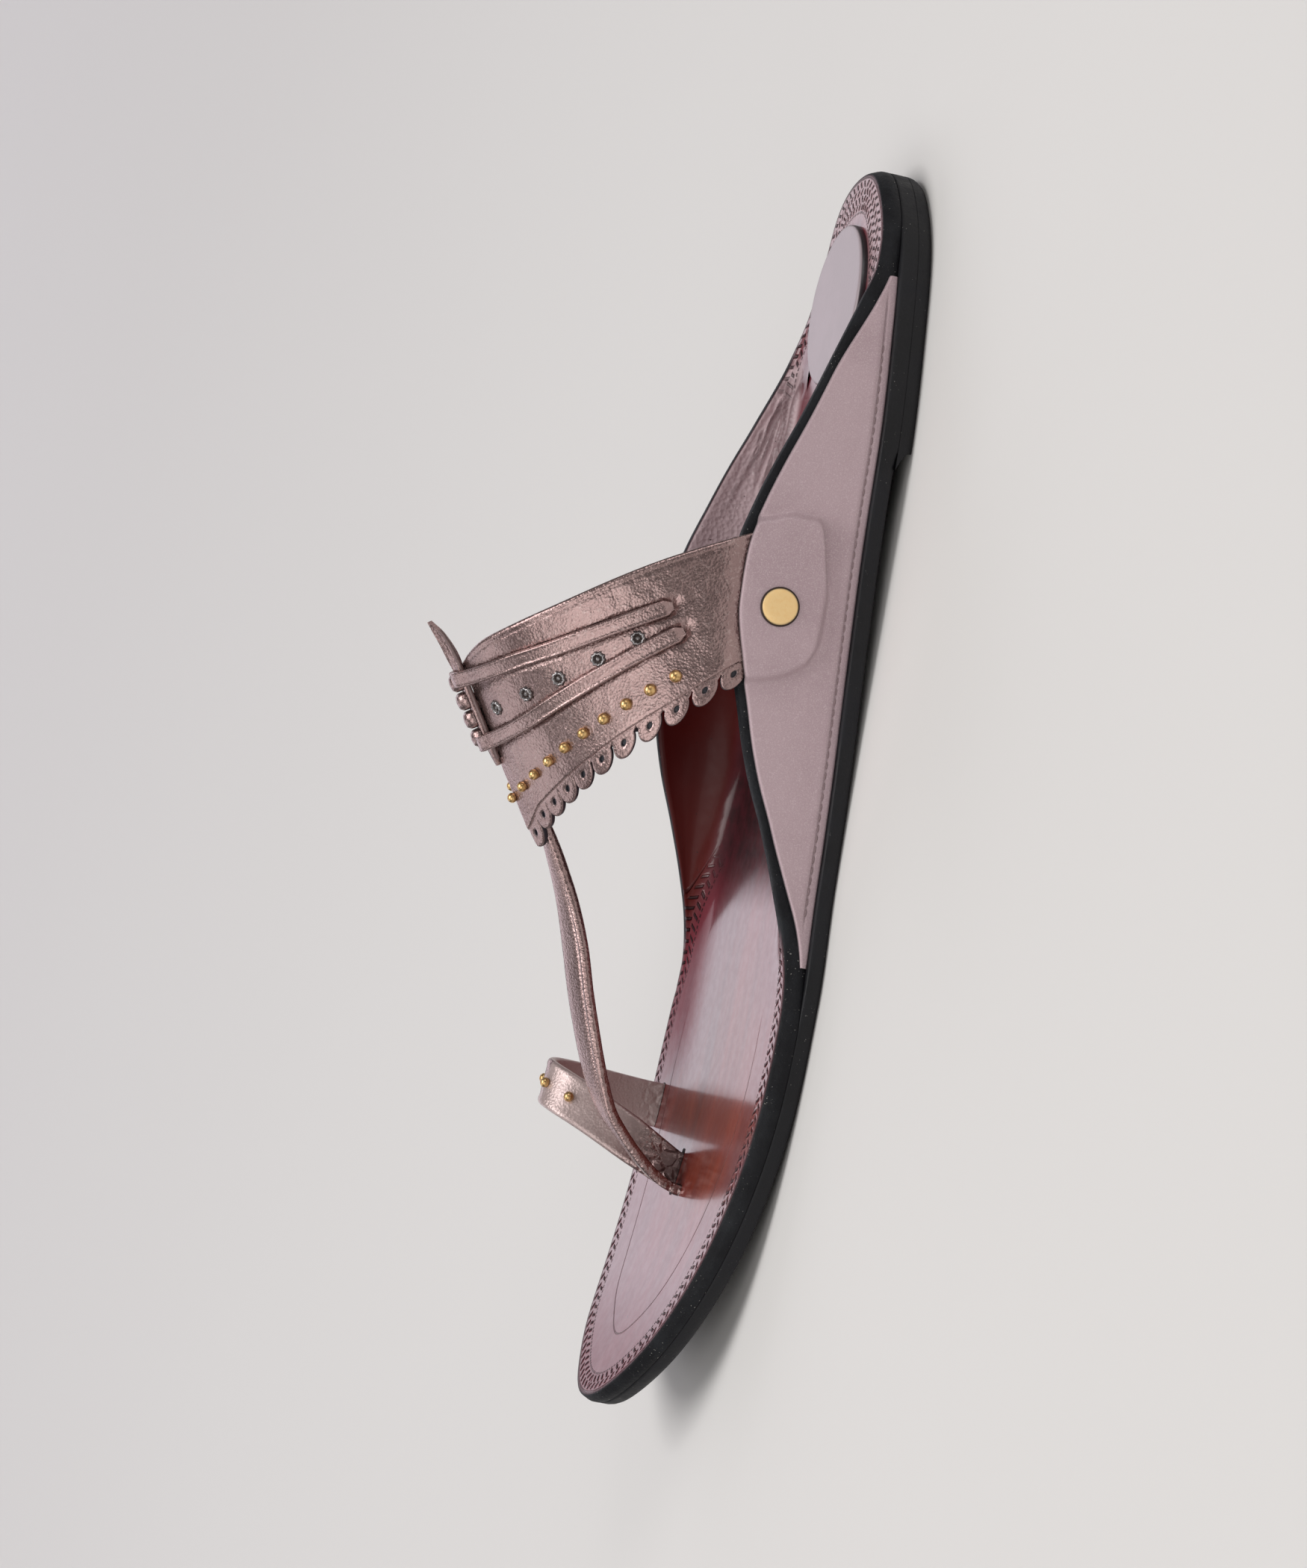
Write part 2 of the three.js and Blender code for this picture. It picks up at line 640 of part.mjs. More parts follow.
function thongBody(side, name) {
  const course = tableCurve(THONG_COURSE, 'across', name);
  const [from, to] = THONG_REACH[name];
  const stations = [];
  const spot = (t) => {
    const across = from + (to - from) * t;
    return bandFrame(side * across, course(across));
  };
  for (let i = 0; i <= THONG_STEPS; i += 1) {
    const t = i / THONG_STEPS;
    const { point, up } = spot(t);
    const way = spot(Math.min(1, t + 0.02)).point.sub(spot(Math.max(0, t - 0.02)).point).normalize();
    const end = Math.min(1, 0.45 + 4 * Math.min(t, 1 - t));
    stations.push({
      point: point.addScaledVector(up, SEAT_GAP + 0.1 + THONG_THICK / 2),
      across: new THREE.Vector3().crossVectors(way, up).normalize(),
      up,
      width: THONG_WIDTH * end,
      thick: THONG_THICK,
    });
  }
  return strapBody(stations);
}

function spineBody() {
  const rows = SPINE.map((row, i) => ({ ...row, order: i }));
  const curve = (column) => tableCurve(rows, 'order', column);
  const [along, lift, width, thick] = ['along', 'lift', 'width', 'thick'].map(curve);
  const stations = [];
  for (let i = 0; i <= SPINE_STEPS; i += 1) {
    const order = ((rows.length - 1) * i) / SPINE_STEPS;
    const { point, forward } = bandFrame(0, along(order));
    const across = new THREE.Vector3(0, 1, 0);
    const up = new THREE.Vector3().crossVectors(forward, across).normalize();
    stations.push({
      point: point.addScaledVector(up, SEAT_GAP + lift(order) + thick(order) / 2 + 0.1),
      across,
      up,
      width: width(order),
      thick: thick(order),
    });
  }
  return strapBody(stations);
}

// Covers over the wings, with a pocket for the tucked band end
const tuckRows = [
  { z: 13.2, rear: 81, front: 97 },
  { z: 15.5, rear: 77, front: 101.5 },
  { z: 19, rear: 75, front: 104 },
  { z: 24, rear: 76.3, front: 104.6 },
  { z: 29, rear: 78.3, front: 104 },
];
const tuckRear = tableCurve(tuckRows, 'z', 'rear');
const tuckFront = tableCurve(tuckRows, 'z', 'front');

function pocketDepth(side, x, z) {
  const along = x - TUCK_SHIFT[side];
  const outside = Math.max(tuckRear(z) - along, along - tuckFront(z), tuckRows[0].z - z);
  const fade = 1 - smoothstep(outside, POCKET_MARGIN, POCKET_MARGIN + POCKET_FADE);
  return (BAND_THICK + SEAT_GAP + POCKET_SLACK) * fade;
}

function coverColumns(side) {
  const fineRear = COVER_FINE_REAR + TUCK_SHIFT[side];
  const fineFront = COVER_FINE_FRONT + TUCK_SHIFT[side];
  const columns = [];
  const spread = (from, to, pitch) => {
    const count = Math.round((to - from) / pitch);
    for (let i = 0; i < count; i += 1) columns.push(from + ((to - from) * i) / count);
  };
  spread(COVER_REAR_X, fineRear, COVER_COARSE);
  spread(fineRear, fineFront, COVER_FINE);
  spread(fineFront, COVER_FRONT_X, COVER_COARSE);
  columns.push(COVER_FRONT_X);
  return columns;
}

function coverBody(side) {
  const outerGrid = [];
  const innerGrid = [];
  for (const x of coverColumns(side)) {
    const low = outsoleTop(x) + SEAT_GAP;
    const high = Math.max(low + 1, insoleTop(x) + wingCurve[side](x) - COVER_DROP);
    const outer = [];
    const inner = [];
    for (let j = 0; j <= COVER_ROWS; j += 1) {
      const z = low + ((high - low) * j) / COVER_ROWS;
      const out = SEAT_GAP + pocketDepth(side, x, z);
      outer.push(wallPoint(side, x, z, out + COVER_THICK));
      inner.push(wallPoint(side, x, z, out));
    }
    outerGrid.push(outer);
    innerGrid.push(inner);
  }
  return bodyFromGrids(outerGrid, innerGrid);
}

function rivetBody(side) {
  const depth = 3 * SEAT_GAP + BAND_THICK + POCKET_SLACK + COVER_THICK;
  const x = RIVET.x + TUCK_SHIFT[side];
  const face = wallPoint(side, x, RIVET.z, depth);
  const { inward } = edgeAt(side, toeAngle(x));
  const out = new THREE.Vector3(-inward.x, -inward.y, WING_LEAN).normalize();
  const head = new THREE.CylinderGeometry(RIVET.radius * 0.8, RIVET.radius, RIVET.thick, RIVET.sides);
  head.translate(0, RIVET.thick / 2, 0);
  head.applyQuaternion(new THREE.Quaternion().setFromUnitVectors(new THREE.Vector3(0, 1, 0), out));
  return head.translate(face.x, face.y, face.z);
}

// Toe strap and toe ring
function tableSpline(rows) {
  return new THREE.CatmullRomCurve3(
    rows.map((row) => new THREE.Vector3(row.x, row.y, row.z)),
    false,
    'centripetal',
  );
}

function toeStrapBody() {
  const spline = tableSpline(TOE_STRAP);
  const rows = TOE_STRAP.map((row, i) => ({ ...row, order: i / (TOE_STRAP.length - 1) }));
  const width = tableCurve(rows, 'order', 'width');
  const thick = tableCurve(rows, 'order', 'thick');
  const across = new THREE.Vector3(0, 1, 0);
  const stations = [];
  for (let i = 0; i <= TOE_STRAP_STEPS; i += 1) {
    const t = i / TOE_STRAP_STEPS;
    stations.push({
      point: spline.getPoint(t),
      across,
      up: new THREE.Vector3().crossVectors(spline.getTangent(t), across).normalize(),
      width: width(t),
      thick: thick(t),
    });
  }
  return strapBody(stations);
}

function ringStation(t) {
  const spline = tableSpline(TOE_RING);
  const rows = TOE_RING.map((row, i) => ({ ...row, order: i / (TOE_RING.length - 1) }));
  const lean = THREE.MathUtils.degToRad(tableCurve(rows, 'order', 'lean')(t));
  const tangent = spline.getTangent(t);
  const across = new THREE.Vector3(Math.cos(lean), 0, Math.sin(lean));
  across.addScaledVector(tangent, -across.dot(tangent)).normalize();
  return {
    point: spline.getPoint(t),
    across,
    up: new THREE.Vector3().crossVectors(across, tangent).normalize(),
    width: RING_WIDTH,
    thick: RING_THICK,
  };
}

function toeRingBody() {
  const stations = [];
  for (let i = 0; i <= RING_STEPS; i += 1) stations.push(ringStation(i / RING_STEPS));
  return strapBody(stations);
}

// Small metal pieces seated on a surface
function seated(shape, point, up) {
  shape.applyQuaternion(new THREE.Quaternion().setFromUnitVectors(new THREE.Vector3(0, 1, 0), up));
  return shape.translate(point.x, point.y, point.z);
}

function studShape() {
  const r = STUD_RADIUS;
  const profile = [[0, 0], [0.75 * r, 0], [r, 0.4 * r], [0.8 * r, r], [0, 1.35 * r]];
  return new THREE.LatheGeometry(profile.map(([a, b]) => new THREE.Vector2(a, b)), STUD_SIDES);
}

function rosetteShape() {
  const shape = new THREE.CylinderGeometry(
    ROSETTE_RADIUS * 0.6,
    ROSETTE_RADIUS,
    ROSETTE_HEIGHT,
    ROSETTE_SIDES,
  );
  return shape.translate(0, ROSETTE_HEIGHT / 2, 0);
}

// Assembly
const sandal = new THREE.Group();
sandal.name = 'toe_ring_sandal';

function addPiece(name, geometry, finish) {
  const bare = geometry.clone();
  bare.deleteAttribute('normal');
  bare.deleteAttribute('uv');
  const merged = mergeVertices(bare, 1e-4);
  const indices = Array.from(merged.index.array);
  const kept = [];
  for (let i = 0; i < indices.length; i += 3) {
    const [a, b, c] = indices.slice(i, i + 3);
    if (a !== b && b !== c && c !== a) kept.push(a, b, c);
  }
  merged.setIndex(kept);
  merged.computeVertexNormals();
  const material = new THREE.MeshStandardMaterial({ ...PALETTE[finish], name: finish });
  const mesh = new THREE.Mesh(merged, material);
  mesh.name = name;
  sandal.add(mesh);
}

addPiece('heel_lift', heelLiftBody(), 'sole');
addPiece('outsole', outsoleBody(), 'sole');
addPiece('insole', insoleBody(), 'insole');
addPiece('heel_pad', heelPadBody(), 'pad');
addPiece('instep_band', withScallops(bandBody()), 'strap');
addPiece('band_spine', spineBody(), 'strap');
addPiece('toe_strap', toeStrapBody(), 'strap');
addPiece('toe_ring', toeRingBody(), 'strap');

for (const [side, sideName] of [[OUTER, 'outer'], [INNER, 'inner']]) {
  addPiece(`wing_cover_${sideName}`, coverBody(side), 'cover');
  addPiece(`rivet_${sideName}`, rivetBody(side), 'gold');
  for (const thong of ['front', 'rear']) {
    addPiece(`thong_${thong}_${sideName}`, thongBody(side, thong), 'strap');
  }
  ROSETTE_ROW.forEach(({ across, place }, i) => {
    const { point, up } = bandFrame(side * across, place);
    point.addScaledVector(up, SEAT_GAP);
    addPiece(`rosette_${sideName}_${i + 1}`, seated(rosetteShape(), point, up), 'silver');
  });
}

for (let k = -STUD_ROW.perSide; k <= STUD_ROW.perSide; k += 1) {
  const { point, up } = bandFrame(k * STUD_ROW.pitch, STUD_ROW.place);
  point.addScaledVector(up, SEAT_GAP);
  addPiece(`stud_${k + STUD_ROW.perSide + 1}`, seated(studShape(), point, up), 'gold');
}

RING_STUDS.forEach((t, i) => {
  const { point, up } = ringStation(t);
  point.addScaledVector(up, RING_THICK / 2 + SEAT_GAP);
  addPiece(`ring_stud_${i + 1}`, seated(studShape(), point, up), 'gold');
});

// Origin at the centre of the footprint, on the floor
const box = new THREE.Box3().setFromObject(sandal);
const centre = box.getCenter(new THREE.Vector3());
for (const piece of sandal.children) {
  piece.geometry.translate(-centre.x, -centre.y, -box.min.z);
}

export default sandal;
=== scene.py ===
"""Looks of a flat leather toe-ring sandal for the left foot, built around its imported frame.

Tables and shapes below are in millimetres, x from the heel tip to the toe, y towards the outer side from
the centre line of the sole and z above the floor. placed() turns them into the frame's metres.
"""

import bpy
import numpy as np
from mathutils import Matrix, Vector


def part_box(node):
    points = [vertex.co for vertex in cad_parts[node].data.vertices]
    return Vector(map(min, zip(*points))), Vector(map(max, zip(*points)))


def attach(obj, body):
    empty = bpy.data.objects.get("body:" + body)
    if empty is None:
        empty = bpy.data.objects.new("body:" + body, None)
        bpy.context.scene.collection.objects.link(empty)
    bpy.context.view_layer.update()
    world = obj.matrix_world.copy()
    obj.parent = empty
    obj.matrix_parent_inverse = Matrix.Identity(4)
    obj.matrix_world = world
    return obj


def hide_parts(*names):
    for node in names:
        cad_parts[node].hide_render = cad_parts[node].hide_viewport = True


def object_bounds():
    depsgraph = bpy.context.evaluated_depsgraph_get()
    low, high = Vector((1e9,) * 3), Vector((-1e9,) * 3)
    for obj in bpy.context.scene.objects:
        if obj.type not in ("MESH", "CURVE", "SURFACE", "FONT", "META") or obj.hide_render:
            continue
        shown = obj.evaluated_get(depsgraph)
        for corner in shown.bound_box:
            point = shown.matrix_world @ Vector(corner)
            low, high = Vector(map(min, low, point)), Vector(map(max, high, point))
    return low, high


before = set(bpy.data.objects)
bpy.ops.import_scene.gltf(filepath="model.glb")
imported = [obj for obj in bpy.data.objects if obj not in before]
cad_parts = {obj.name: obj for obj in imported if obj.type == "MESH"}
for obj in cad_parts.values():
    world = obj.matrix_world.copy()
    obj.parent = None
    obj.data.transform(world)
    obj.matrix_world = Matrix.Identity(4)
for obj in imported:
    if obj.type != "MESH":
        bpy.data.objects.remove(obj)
CAD_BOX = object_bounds()
rng = np.random.default_rng(7)

# Frame: the sole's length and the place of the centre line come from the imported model
MM = 0.001
LENGTH = (CAD_BOX[1].x - CAD_BOX[0].x) / MM
CREST_Y = -4.0
SPINE_LOW, SPINE_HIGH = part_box("band_spine")
ORIGIN = np.array([LENGTH / 2, CREST_Y - (SPINE_LOW.y + SPINE_HIGH.y) / 2 / MM, 0.0])
OUTER, INNER = 1, -1
SIDES = {OUTER: "outer", INNER: "inner"}

# Sole stack
LIFT_HEIGHT, SHANK_RISE = 2.95, 3.25
OUTSOLE_THICK, LAYER_GAP, INSOLE_THICK = 3.3, 0.3, 3.6
STACK_THICK = OUTSOLE_THICK + LAYER_GAP + INSOLE_THICK
BREAST_X, BALL_FLAT_X, SPRING_X = 60.0, 146.0, 176.0
TOE_SPRING, SPRING_POWER = 13.46, 2.23
SIDE_SWELL, HEEL_ROUNDING, ROUGH_CUT = -0.8, 0.06, 0.0075
SOLE_STEPS = 720

# Half widths of the sole: x, outer, inner
OUTLINE = [
    (0, 0, 0), (5, 11.6, 14.9), (15, 20.4, 20.8), (33, 27.4, 27.3), (56, 33.1, 28.6),
    (86, 34.7, 26.6), (117, 35.7, 27.2), (145, 37.6, 32.6), (168, 41.2, 39.9), (188, 40.7, 42.4),
    (208, 37.4, 39.9), (226, 31.3, 35.2), (240, 22.6, 28.2), (249, 12.3, 17.4), (254, -2.2, 2.2),
]

# Rise of the wings above the insole: x, outer, inner
WING_RISE = [
    (14, 0, 0), (20, 0.6, 0), (27, 3, 0.1), (39, 7.4, 2.2), (53, 12.3, 7), (64, 16.2, 11.2),
    (72, 18.7, 14.2), (81, 20.9, 17.6), (92, 21.3, 20.5), (103, 19.3, 20.9), (112, 16.8, 19.7),
    (120, 14.7, 17.9), (126, 12.7, 15.8), (135, 8.9, 11.6), (145, 5.1, 7), (154, 2.1, 3.2),
    (163, 0.3, 0.8), (170, 0, 0),
]
WING_THICK, WING_LEAN, WING_INSET, WING_ROOT = 2.5, 0.1, 2.0, 9.0

# Rim of the insole: how far it rounds in and up, and the step down to the leather inside
RIM_IN, RIM_UP, RIM_STEP = 0.8, 0.45, 0.35

# Stamped border: pitch along the edge, width of a row, depth, shift to the wing's foot, slant
BORDER_PITCH, BORDER_LANE, BORDER_DEPTH, BORDER_SHIFT, BORDER_SLANT = 2.5, 1.6, 0.2, 8.2, 0.42
DASH_PITCH, SCORE_LANE = 1.3, 7.6

# Creases at the foot of the wings towards the heel: x and height of both ends, depth
WING_CREASES = [
    (36, 0.3, 64, 1.0, 0.5), (37, 0.5, 67, 2.1, 0.5), (38, 0.7, 68, 3.2, 0.55), (39, 0.9, 67, 4.4, 0.5),
    (41, 1.2, 65, 5.4, 0.5), (43, 1.8, 64, 6.5, 0.45), (46, 2.6, 62, 7.4, 0.4), (51, 4.2, 66, 8.8, 0.35),
    (58, 6.6, 72, 11.2, 0.3), (40, 1.6, 52, 3.9, 0.4), (56, 2.6, 72, 4.6, 0.35),
]

# Covers outside the wings: SEAM_FOOT is their gap over the outsole, SEAM_UP the stitch line above that
COVER_THICK, COVER_DROP, COVER_REAR_X, COVER_FRONT_X = 1.0, 1.5, 21.5, 161.0
SEAM_FOOT, SEAM_UP, STITCH_PITCH, STITCH_RADIUS = 0.22, 1.75, 2.1, 0.17

# Band edges: joint and crest places in x, z, and how far the two handles reach in x
BAND_THICK, BAND_ARCH = 1.2, 0.62
BAND_JOINTS = {
    OUTER: {"rear": (78.3, 29.0), "front": (103.5, 27.0)},
    INNER: {"rear": (88.0, 28.4), "front": (112.0, 27.2)},
}
BAND_CRESTS = {"rear": ((111.0, 75.6), (0.42, 0.9)), "front": ((141.0, 55.6), (0.3, 0.7))}
TUCK_SHIFT = {OUTER: 0.0, INNER: 9.0}

# Outline of the tucked band end under the cover: z, rear x, front x
TUCK = [
    (12.3, 87, 98.5), (13.8, 81, 101.7), (15.2, 75.5, 103), (17, 73.4, 104.3), (21.4, 73.4, 106.3),
    (25.7, 74.8, 107.3), (30, 76.2, 108.5),
]

# Scalloped trim: depth of its root, scallops of each side, centres of the outer ones from the crest
TRIM_ROOT, TRIM_ROOT_END, TRIM_END, CREST_REACH = 3.5, 2.0, 0.995, 2.8
TRIM_COUNT = {OUTER: 11, INNER: 8}
OUTER_CENTRES = [0.35, 1.34, 2.28, 3.25, 4.25, 5.3, 6.4, 7.56, 8.68, 9.8, 10.9]
LOBE_BACK, LOBE_HOLE = 1.9, 0.56

# Thongs on the band: across, place of the front one, place of the rear one
THONG_COURSE = [
    (0, 0.552, 0.165), (0.067, 0.572, 0.19), (0.187, 0.6, 0.22), (0.26, 0.61, 0.238),
    (0.415, 0.612, 0.288), (0.59, 0.608, 0.331), (0.7, 0.6, 0.353), (0.81, 0.591, 0.375),
]
THONG_REACH = {"front": 0.81, "rear": 0.775}
THONG_WIDTH, THONG_THICK, THONG_GAP = 3.3, 1.5, 0.42

# Crest spine: place along the band, lift, width, thickness
SPINE = [
    (0.7, 0, 1.2, 0.8), (0.6, 0, 2.2, 1.1), (0.4, 0, 2.8, 1.3), (0.2, 0, 3, 1.3),
    (0.03, 0.2, 3.2, 1.3), (-0.09, 0.9, 3, 1.2), (-0.19, 2.1, 1.4, 0.9),
]
CORD_SIZE, COIL_PLACES, COIL_RADIUS = 0.85, (0.19, 0.3, 0.41, 0.52), 1.5
COIL_WIDTH, COIL_THICK = 3.5, 1.5

# Centre strap: x, y, z, width, thickness
TOE_STRAP = [
    (137.5, -4, 53.5, 4, 1.8), (141.5, -4, 51, 4.4, 1.8), (145.3, -4, 48.6, 4.8, 1.9),
    (150.6, -3.8, 45.7, 5.6, 2), (157.2, -3.6, 42.5, 7.4, 2), (165.4, -3.2, 39.4, 9, 2),
    (173.7, -2.8, 36.8, 9, 2), (180.5, -2.4, 34.4, 8.8, 2), (187, -2, 31.9, 8.2, 2),
    (192.7, -1.6, 29.3, 7.2, 2), (196.8, -1.5, 26.8, 6.4, 2), (200.1, -1.5, 23.7, 5.8, 2),
    (205.8, -1.6, 17.3, 5, 2), (208.3, -1.7, 13.4, 4.7, 1.9), (209.6, -1.7, 9.6, 4.6, 1.8),
    (209.8, -1.7, 6.4, 4.6, 1.8),
]

# Section of the centre strap, with a fold along one side: share of half width, share of half thickness
STRAP_SECTION = [
    (-0.4, -1), (0.4, -1), (0.85, -0.9), (0.98, -0.5), (1.03, 0.1), (1.0, 0.6), (0.93, 1.1),
    (0.82, 1.32), (0.7, 1.2), (0.62, 0.85), (0.57, 0.45), (0.52, 0.8), (0.35, 1.0), (0, 1.05),
    (-0.4, 1.05), (-0.8, 1.0), (-0.93, 0.85), (-1.0, 0.3), (-1.0, -0.4), (-0.9, -0.9),
]

# Toe ring: x, y, z, lean of its width in degrees
TOE_RING = [
    (206.4, -6.2, 5.9, 0), (206.2, -6.2, 9.4, 6), (204.2, -6.9, 14, 20), (200.6, -8.8, 21.2, 22),
    (197.2, -11.6, 28.2, 18), (194.8, -15.4, 33.4, 12), (193.4, -20.2, 35.4, 6),
    (192.8, -25.8, 33.2, -2), (192.9, -30.2, 27, -6), (193.6, -32.6, 18, -8),
    (194.1, -33.3, 9.6, 0), (194.1, -33.3, 4.9, 0),
]
RING_WIDTH, RING_THICK, RING_MID_Y = 9.2, 1.6, -20
RING_STUDS = (0.42, 0.52, 0.62)

# Slits in the insole: centre, half length, half width
SLITS = [(206.2, -6.1, 4.9, 1.15), (194.0, -33.3, 4.7, 1.05), (209.7, -2.4, 1.2, 2.9)]

PAD_CENTRE, PAD_HALF, PAD_THICK = (27.5, -2.2), (16.6, 16.3), 1.2
STUD_PLACE, STUD_PITCH, STUD_PER_SIDE, STUD_RADIUS, STUD_GROWTH = 0.9, 0.087, 9, 1.05, 0.025
ROSETTES = [(0.114, 0.427), (0.26, 0.459), (0.391, 0.484), (0.532, 0.499), (0.664, 0.493)]
ROSETTE_PETALS = 9
RIVET_PLACE, RIVET_RADIUS = (91.8, 21.4), 3.9

# Lathed profiles: radius, height, darkness. TIP_RADIUS is the small ring that ends each of them
TIP_RADIUS = 0.001
# The dark centre of each rosette is painted shade standing for its hole
ROSETTE_PROFILE = [
    (1.5, -0.1, 0.6), (1.55, 0.1, 0.3), (1.35, 0.42, 0), (1.1, 0.55, 0), (0.9, 0.36, 0.5),
    (0.78, 0.08, 1), (0.58, 0.04, 1), (0.44, 0.24, 0.9), (0.26, 0.32, 0.4), (0, 0.34, 0.3),
]
RIVET_PROFILE = [
    (1, -0.5, 1), (1.02, 0, 1), (1, 0.18, 1), (0.95, 0.24, 1), (0.93, 0.2, 0.9), (0.9, 0.42, 0.25),
    (0.84, 0.55, 0), (0.5, 0.62, 0), (0.2, 0.64, 0), (0, 0.64, 0),
]


# Curves and small vector helpers
def smoothstep(x, low, high):
    t = np.clip((np.asarray(x, float) - low) / (high - low), 0, 1)
    return t * t * (3 - 2 * t)


def bell(x, width):
    """Smooth hump, 1 where x is 0."""
    return np.exp(-((x / width) ** 2))


def unit(v):
    return v / np.maximum(np.linalg.norm(v, axis=-1, keepdims=True), 1e-12)


def table_curve(keys, values):
    """Smooth curve through a table, held back from overshooting."""
    xs, ys = np.array(keys, float), np.array(values, float)
    slopes = np.diff(ys) / np.diff(xs)
    tangents = np.concatenate([slopes[:1], np.zeros(len(xs) - 2), slopes[-1:]])
    for i in range(1, len(xs) - 1):
        before, after = slopes[i - 1], slopes[i]
        if before * after > 0:
            share = (xs[i + 1] - xs[i]) / (xs[i + 1] - xs[i - 1])
            limit = 3 * min(abs(before), abs(after))
            tangents[i] = np.clip(before * share + after * (1 - share), -limit, limit)

    def curve(value):
        x = np.clip(value, xs[0], xs[-1])
        i = np.clip(np.searchsorted(xs, x, side="right") - 1, 0, len(xs) - 2)
        span = xs[i + 1] - xs[i]
        t = (x - xs[i]) / span
        rise = ys[i + 1] - ys[i]
        start, end = span * tangents[i], span * tangents[i + 1]
        return ys[i] + t * (start + t * (3 * rise - 2 * start - end + t * (start + end - 2 * rise)))

    return curve


def table_curves(table, names, key=np.asarray):
    """One curve for each named column of a table, over its first column."""
    rows = np.array(table, float)
    return {name: table_curve(key(rows[:, 0]), rows[:, i]) for i, name in enumerate(names, start=1)}


def run_along(points):
    """Length from the first point to each one."""
    steps = np.linalg.norm(np.diff(points[:, :3], axis=0), axis=1)
    return np.concatenate([[0], np.cumsum(steps)])


def respaced(points, count):
    """The same line with evenly spaced points, and its length."""
    run = run_along(points)
    even = np.linspace(0, run[-1], count)
    return np.column_stack([np.interp(even, run, column) for column in points.T]), run[-1]


def spline(table, count):
    """Evenly spaced rows on a centripetal Catmull-Rom spline, each with its place in the table."""
    rows = np.array(table, float)
    p = np.vstack([2 * rows[0] - rows[1], rows, 2 * rows[-1] - rows[-2]])
    steps = np.linalg.norm(np.diff(p[:, :3], axis=0), axis=1) ** 0.5
    knots = np.concatenate([[0], np.cumsum(np.maximum(steps, 1e-6))])
    fine = []
    for i in range(1, len(p) - 2):
        t = np.linspace(knots[i], knots[i + 1], 24, endpoint=False)[:, None]
        k = knots[i - 1 : i + 3]
        layer = p[i - 1 : i + 3]
        for pairs in (((0, 1), (1, 2), (2, 3)), ((0, 2), (1, 3)), ((1, 2),)):
            layer = [
                (layer[j] * (k[b] - t) + layer[j + 1] * (t - k[a])) / (k[b] - k[a])
                for j, (a, b) in enumerate(pairs)
            ]
        place = (i - 1 + (t - knots[i]) / (knots[i + 1] - knots[i])) / (len(rows) - 1)
        fine.append(np.hstack([layer[0], place]))
    fine.append(np.append(rows[-1], 1.0)[None])
    return respaced(np.vstack(fine), count)[0]


def placed(points):
    return (np.asarray(points, float) - ORIGIN) * MM


def wave_noise(points, scale, seed, octaves=3):
    """Smooth, repeatable noise from summed waves, about -1 to 1."""
    source = np.random.default_rng(seed)
    flat = points.reshape(-1, 3)
    total = np.zeros(len(flat))
    size = 1.0
    for _ in range(octaves):
        for _ in range(5):
            way = unit(source.normal(size=3)) * 2 * np.pi / (scale * source.uniform(0.7, 1.4))
            total += size * np.sin(flat @ way + source.uniform(0, 2 * np.pi)) / 5
        scale /= 2
        size /= 2
    return total.reshape(points.shape[:-1])


def circle(count):
    """Angles, and the points of a unit circle at them."""
    turn = np.linspace(0, 2 * np.pi, count, endpoint=False)
    return turn, np.column_stack([np.cos(turn), np.sin(turn)])


# Mesh building
def link(item):
    bpy.context.scene.collection.objects.link(item)
    return item


class Shape:
    """Vertices, faces and named values per vertex, gathered until the piece is made."""

    def __init__(self):
        self.points, self.faces, self.tags, self.count = [], [], {}, 0

    def add(self, points, faces, flip=False, **tags):
        points = np.asarray(points, float).reshape(-1, 3)
        for name in set(self.tags) | set(tags):
            have = self.tags.setdefault(name, [np.zeros(self.count)])
            have.append(np.broadcast_to(np.asarray(tags.get(name, 0.0), float).ravel(), len(points)))
        self.points.append(points)
        self.faces.append((faces[:, ::-1] if flip else faces) + self.count)
        self.count += len(points)

    def grid(self, points, wrap_rows=False, wrap_columns=False, flip=False, **tags):
        """points is columns x rows x 3."""
        columns, rows = points.shape[:2]
        i = np.arange(columns if wrap_columns else columns - 1)[:, None]
        j = np.arange(rows if wrap_rows else rows - 1)[None, :]
        i2, j2 = (i + 1) % columns, (j + 1) % rows
        corners = np.broadcast_arrays(i * rows + j, i2 * rows + j, i2 * rows + j2, i * rows + j2)
        spread = {name: np.broadcast_to(value, points.shape[:2]) for name, value in tags.items()}
        self.add(points, np.stack(corners, axis=-1).reshape(-1, 4), flip, **spread)

    def lid(self, ring, flip=False, centre=None, **tags):
        """Closes a ring with triangles to its centre."""
        ids = np.arange(len(ring))
        faces = np.stack([ids, np.roll(ids, -1), np.full(len(ring), len(ring))], axis=1)
        self.add(np.vstack([ring, ring.mean(0) if centre is None else centre]), faces, flip, **tags)

    def close_end(self, row, flip=False, **tags):
        """Closes a flat tube whose row runs out along one face and back along the other."""
        half = len(row) // 2
        ids = np.arange(half - 1)
        quads = np.stack([ids, ids + 1, 2 * half - 2 - ids, 2 * half - 1 - ids], axis=1)
        self.add(row, quads, flip, **tags)

    def make(self, name, material, replaces=()):
        mesh = bpy.data.meshes.new(name)
        faces = [face for group in self.faces for face in group.tolist()]
        mesh.from_pydata(placed(np.vstack(self.points)).tolist(), [], faces)
        for tag, parts in self.tags.items():
            values = np.concatenate(parts).astype(np.float32)
            mesh.attributes.new(tag, "FLOAT", "POINT").data.foreach_set("value", values)
        mesh.polygons.foreach_set("use_smooth", np.full(len(mesh.polygons), True))
        mesh.materials.append(material)
        mesh.validate()
        piece = link(bpy.data.objects.new(name, mesh))
        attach(piece, "root")
        if replaces:
            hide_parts(*replaces)


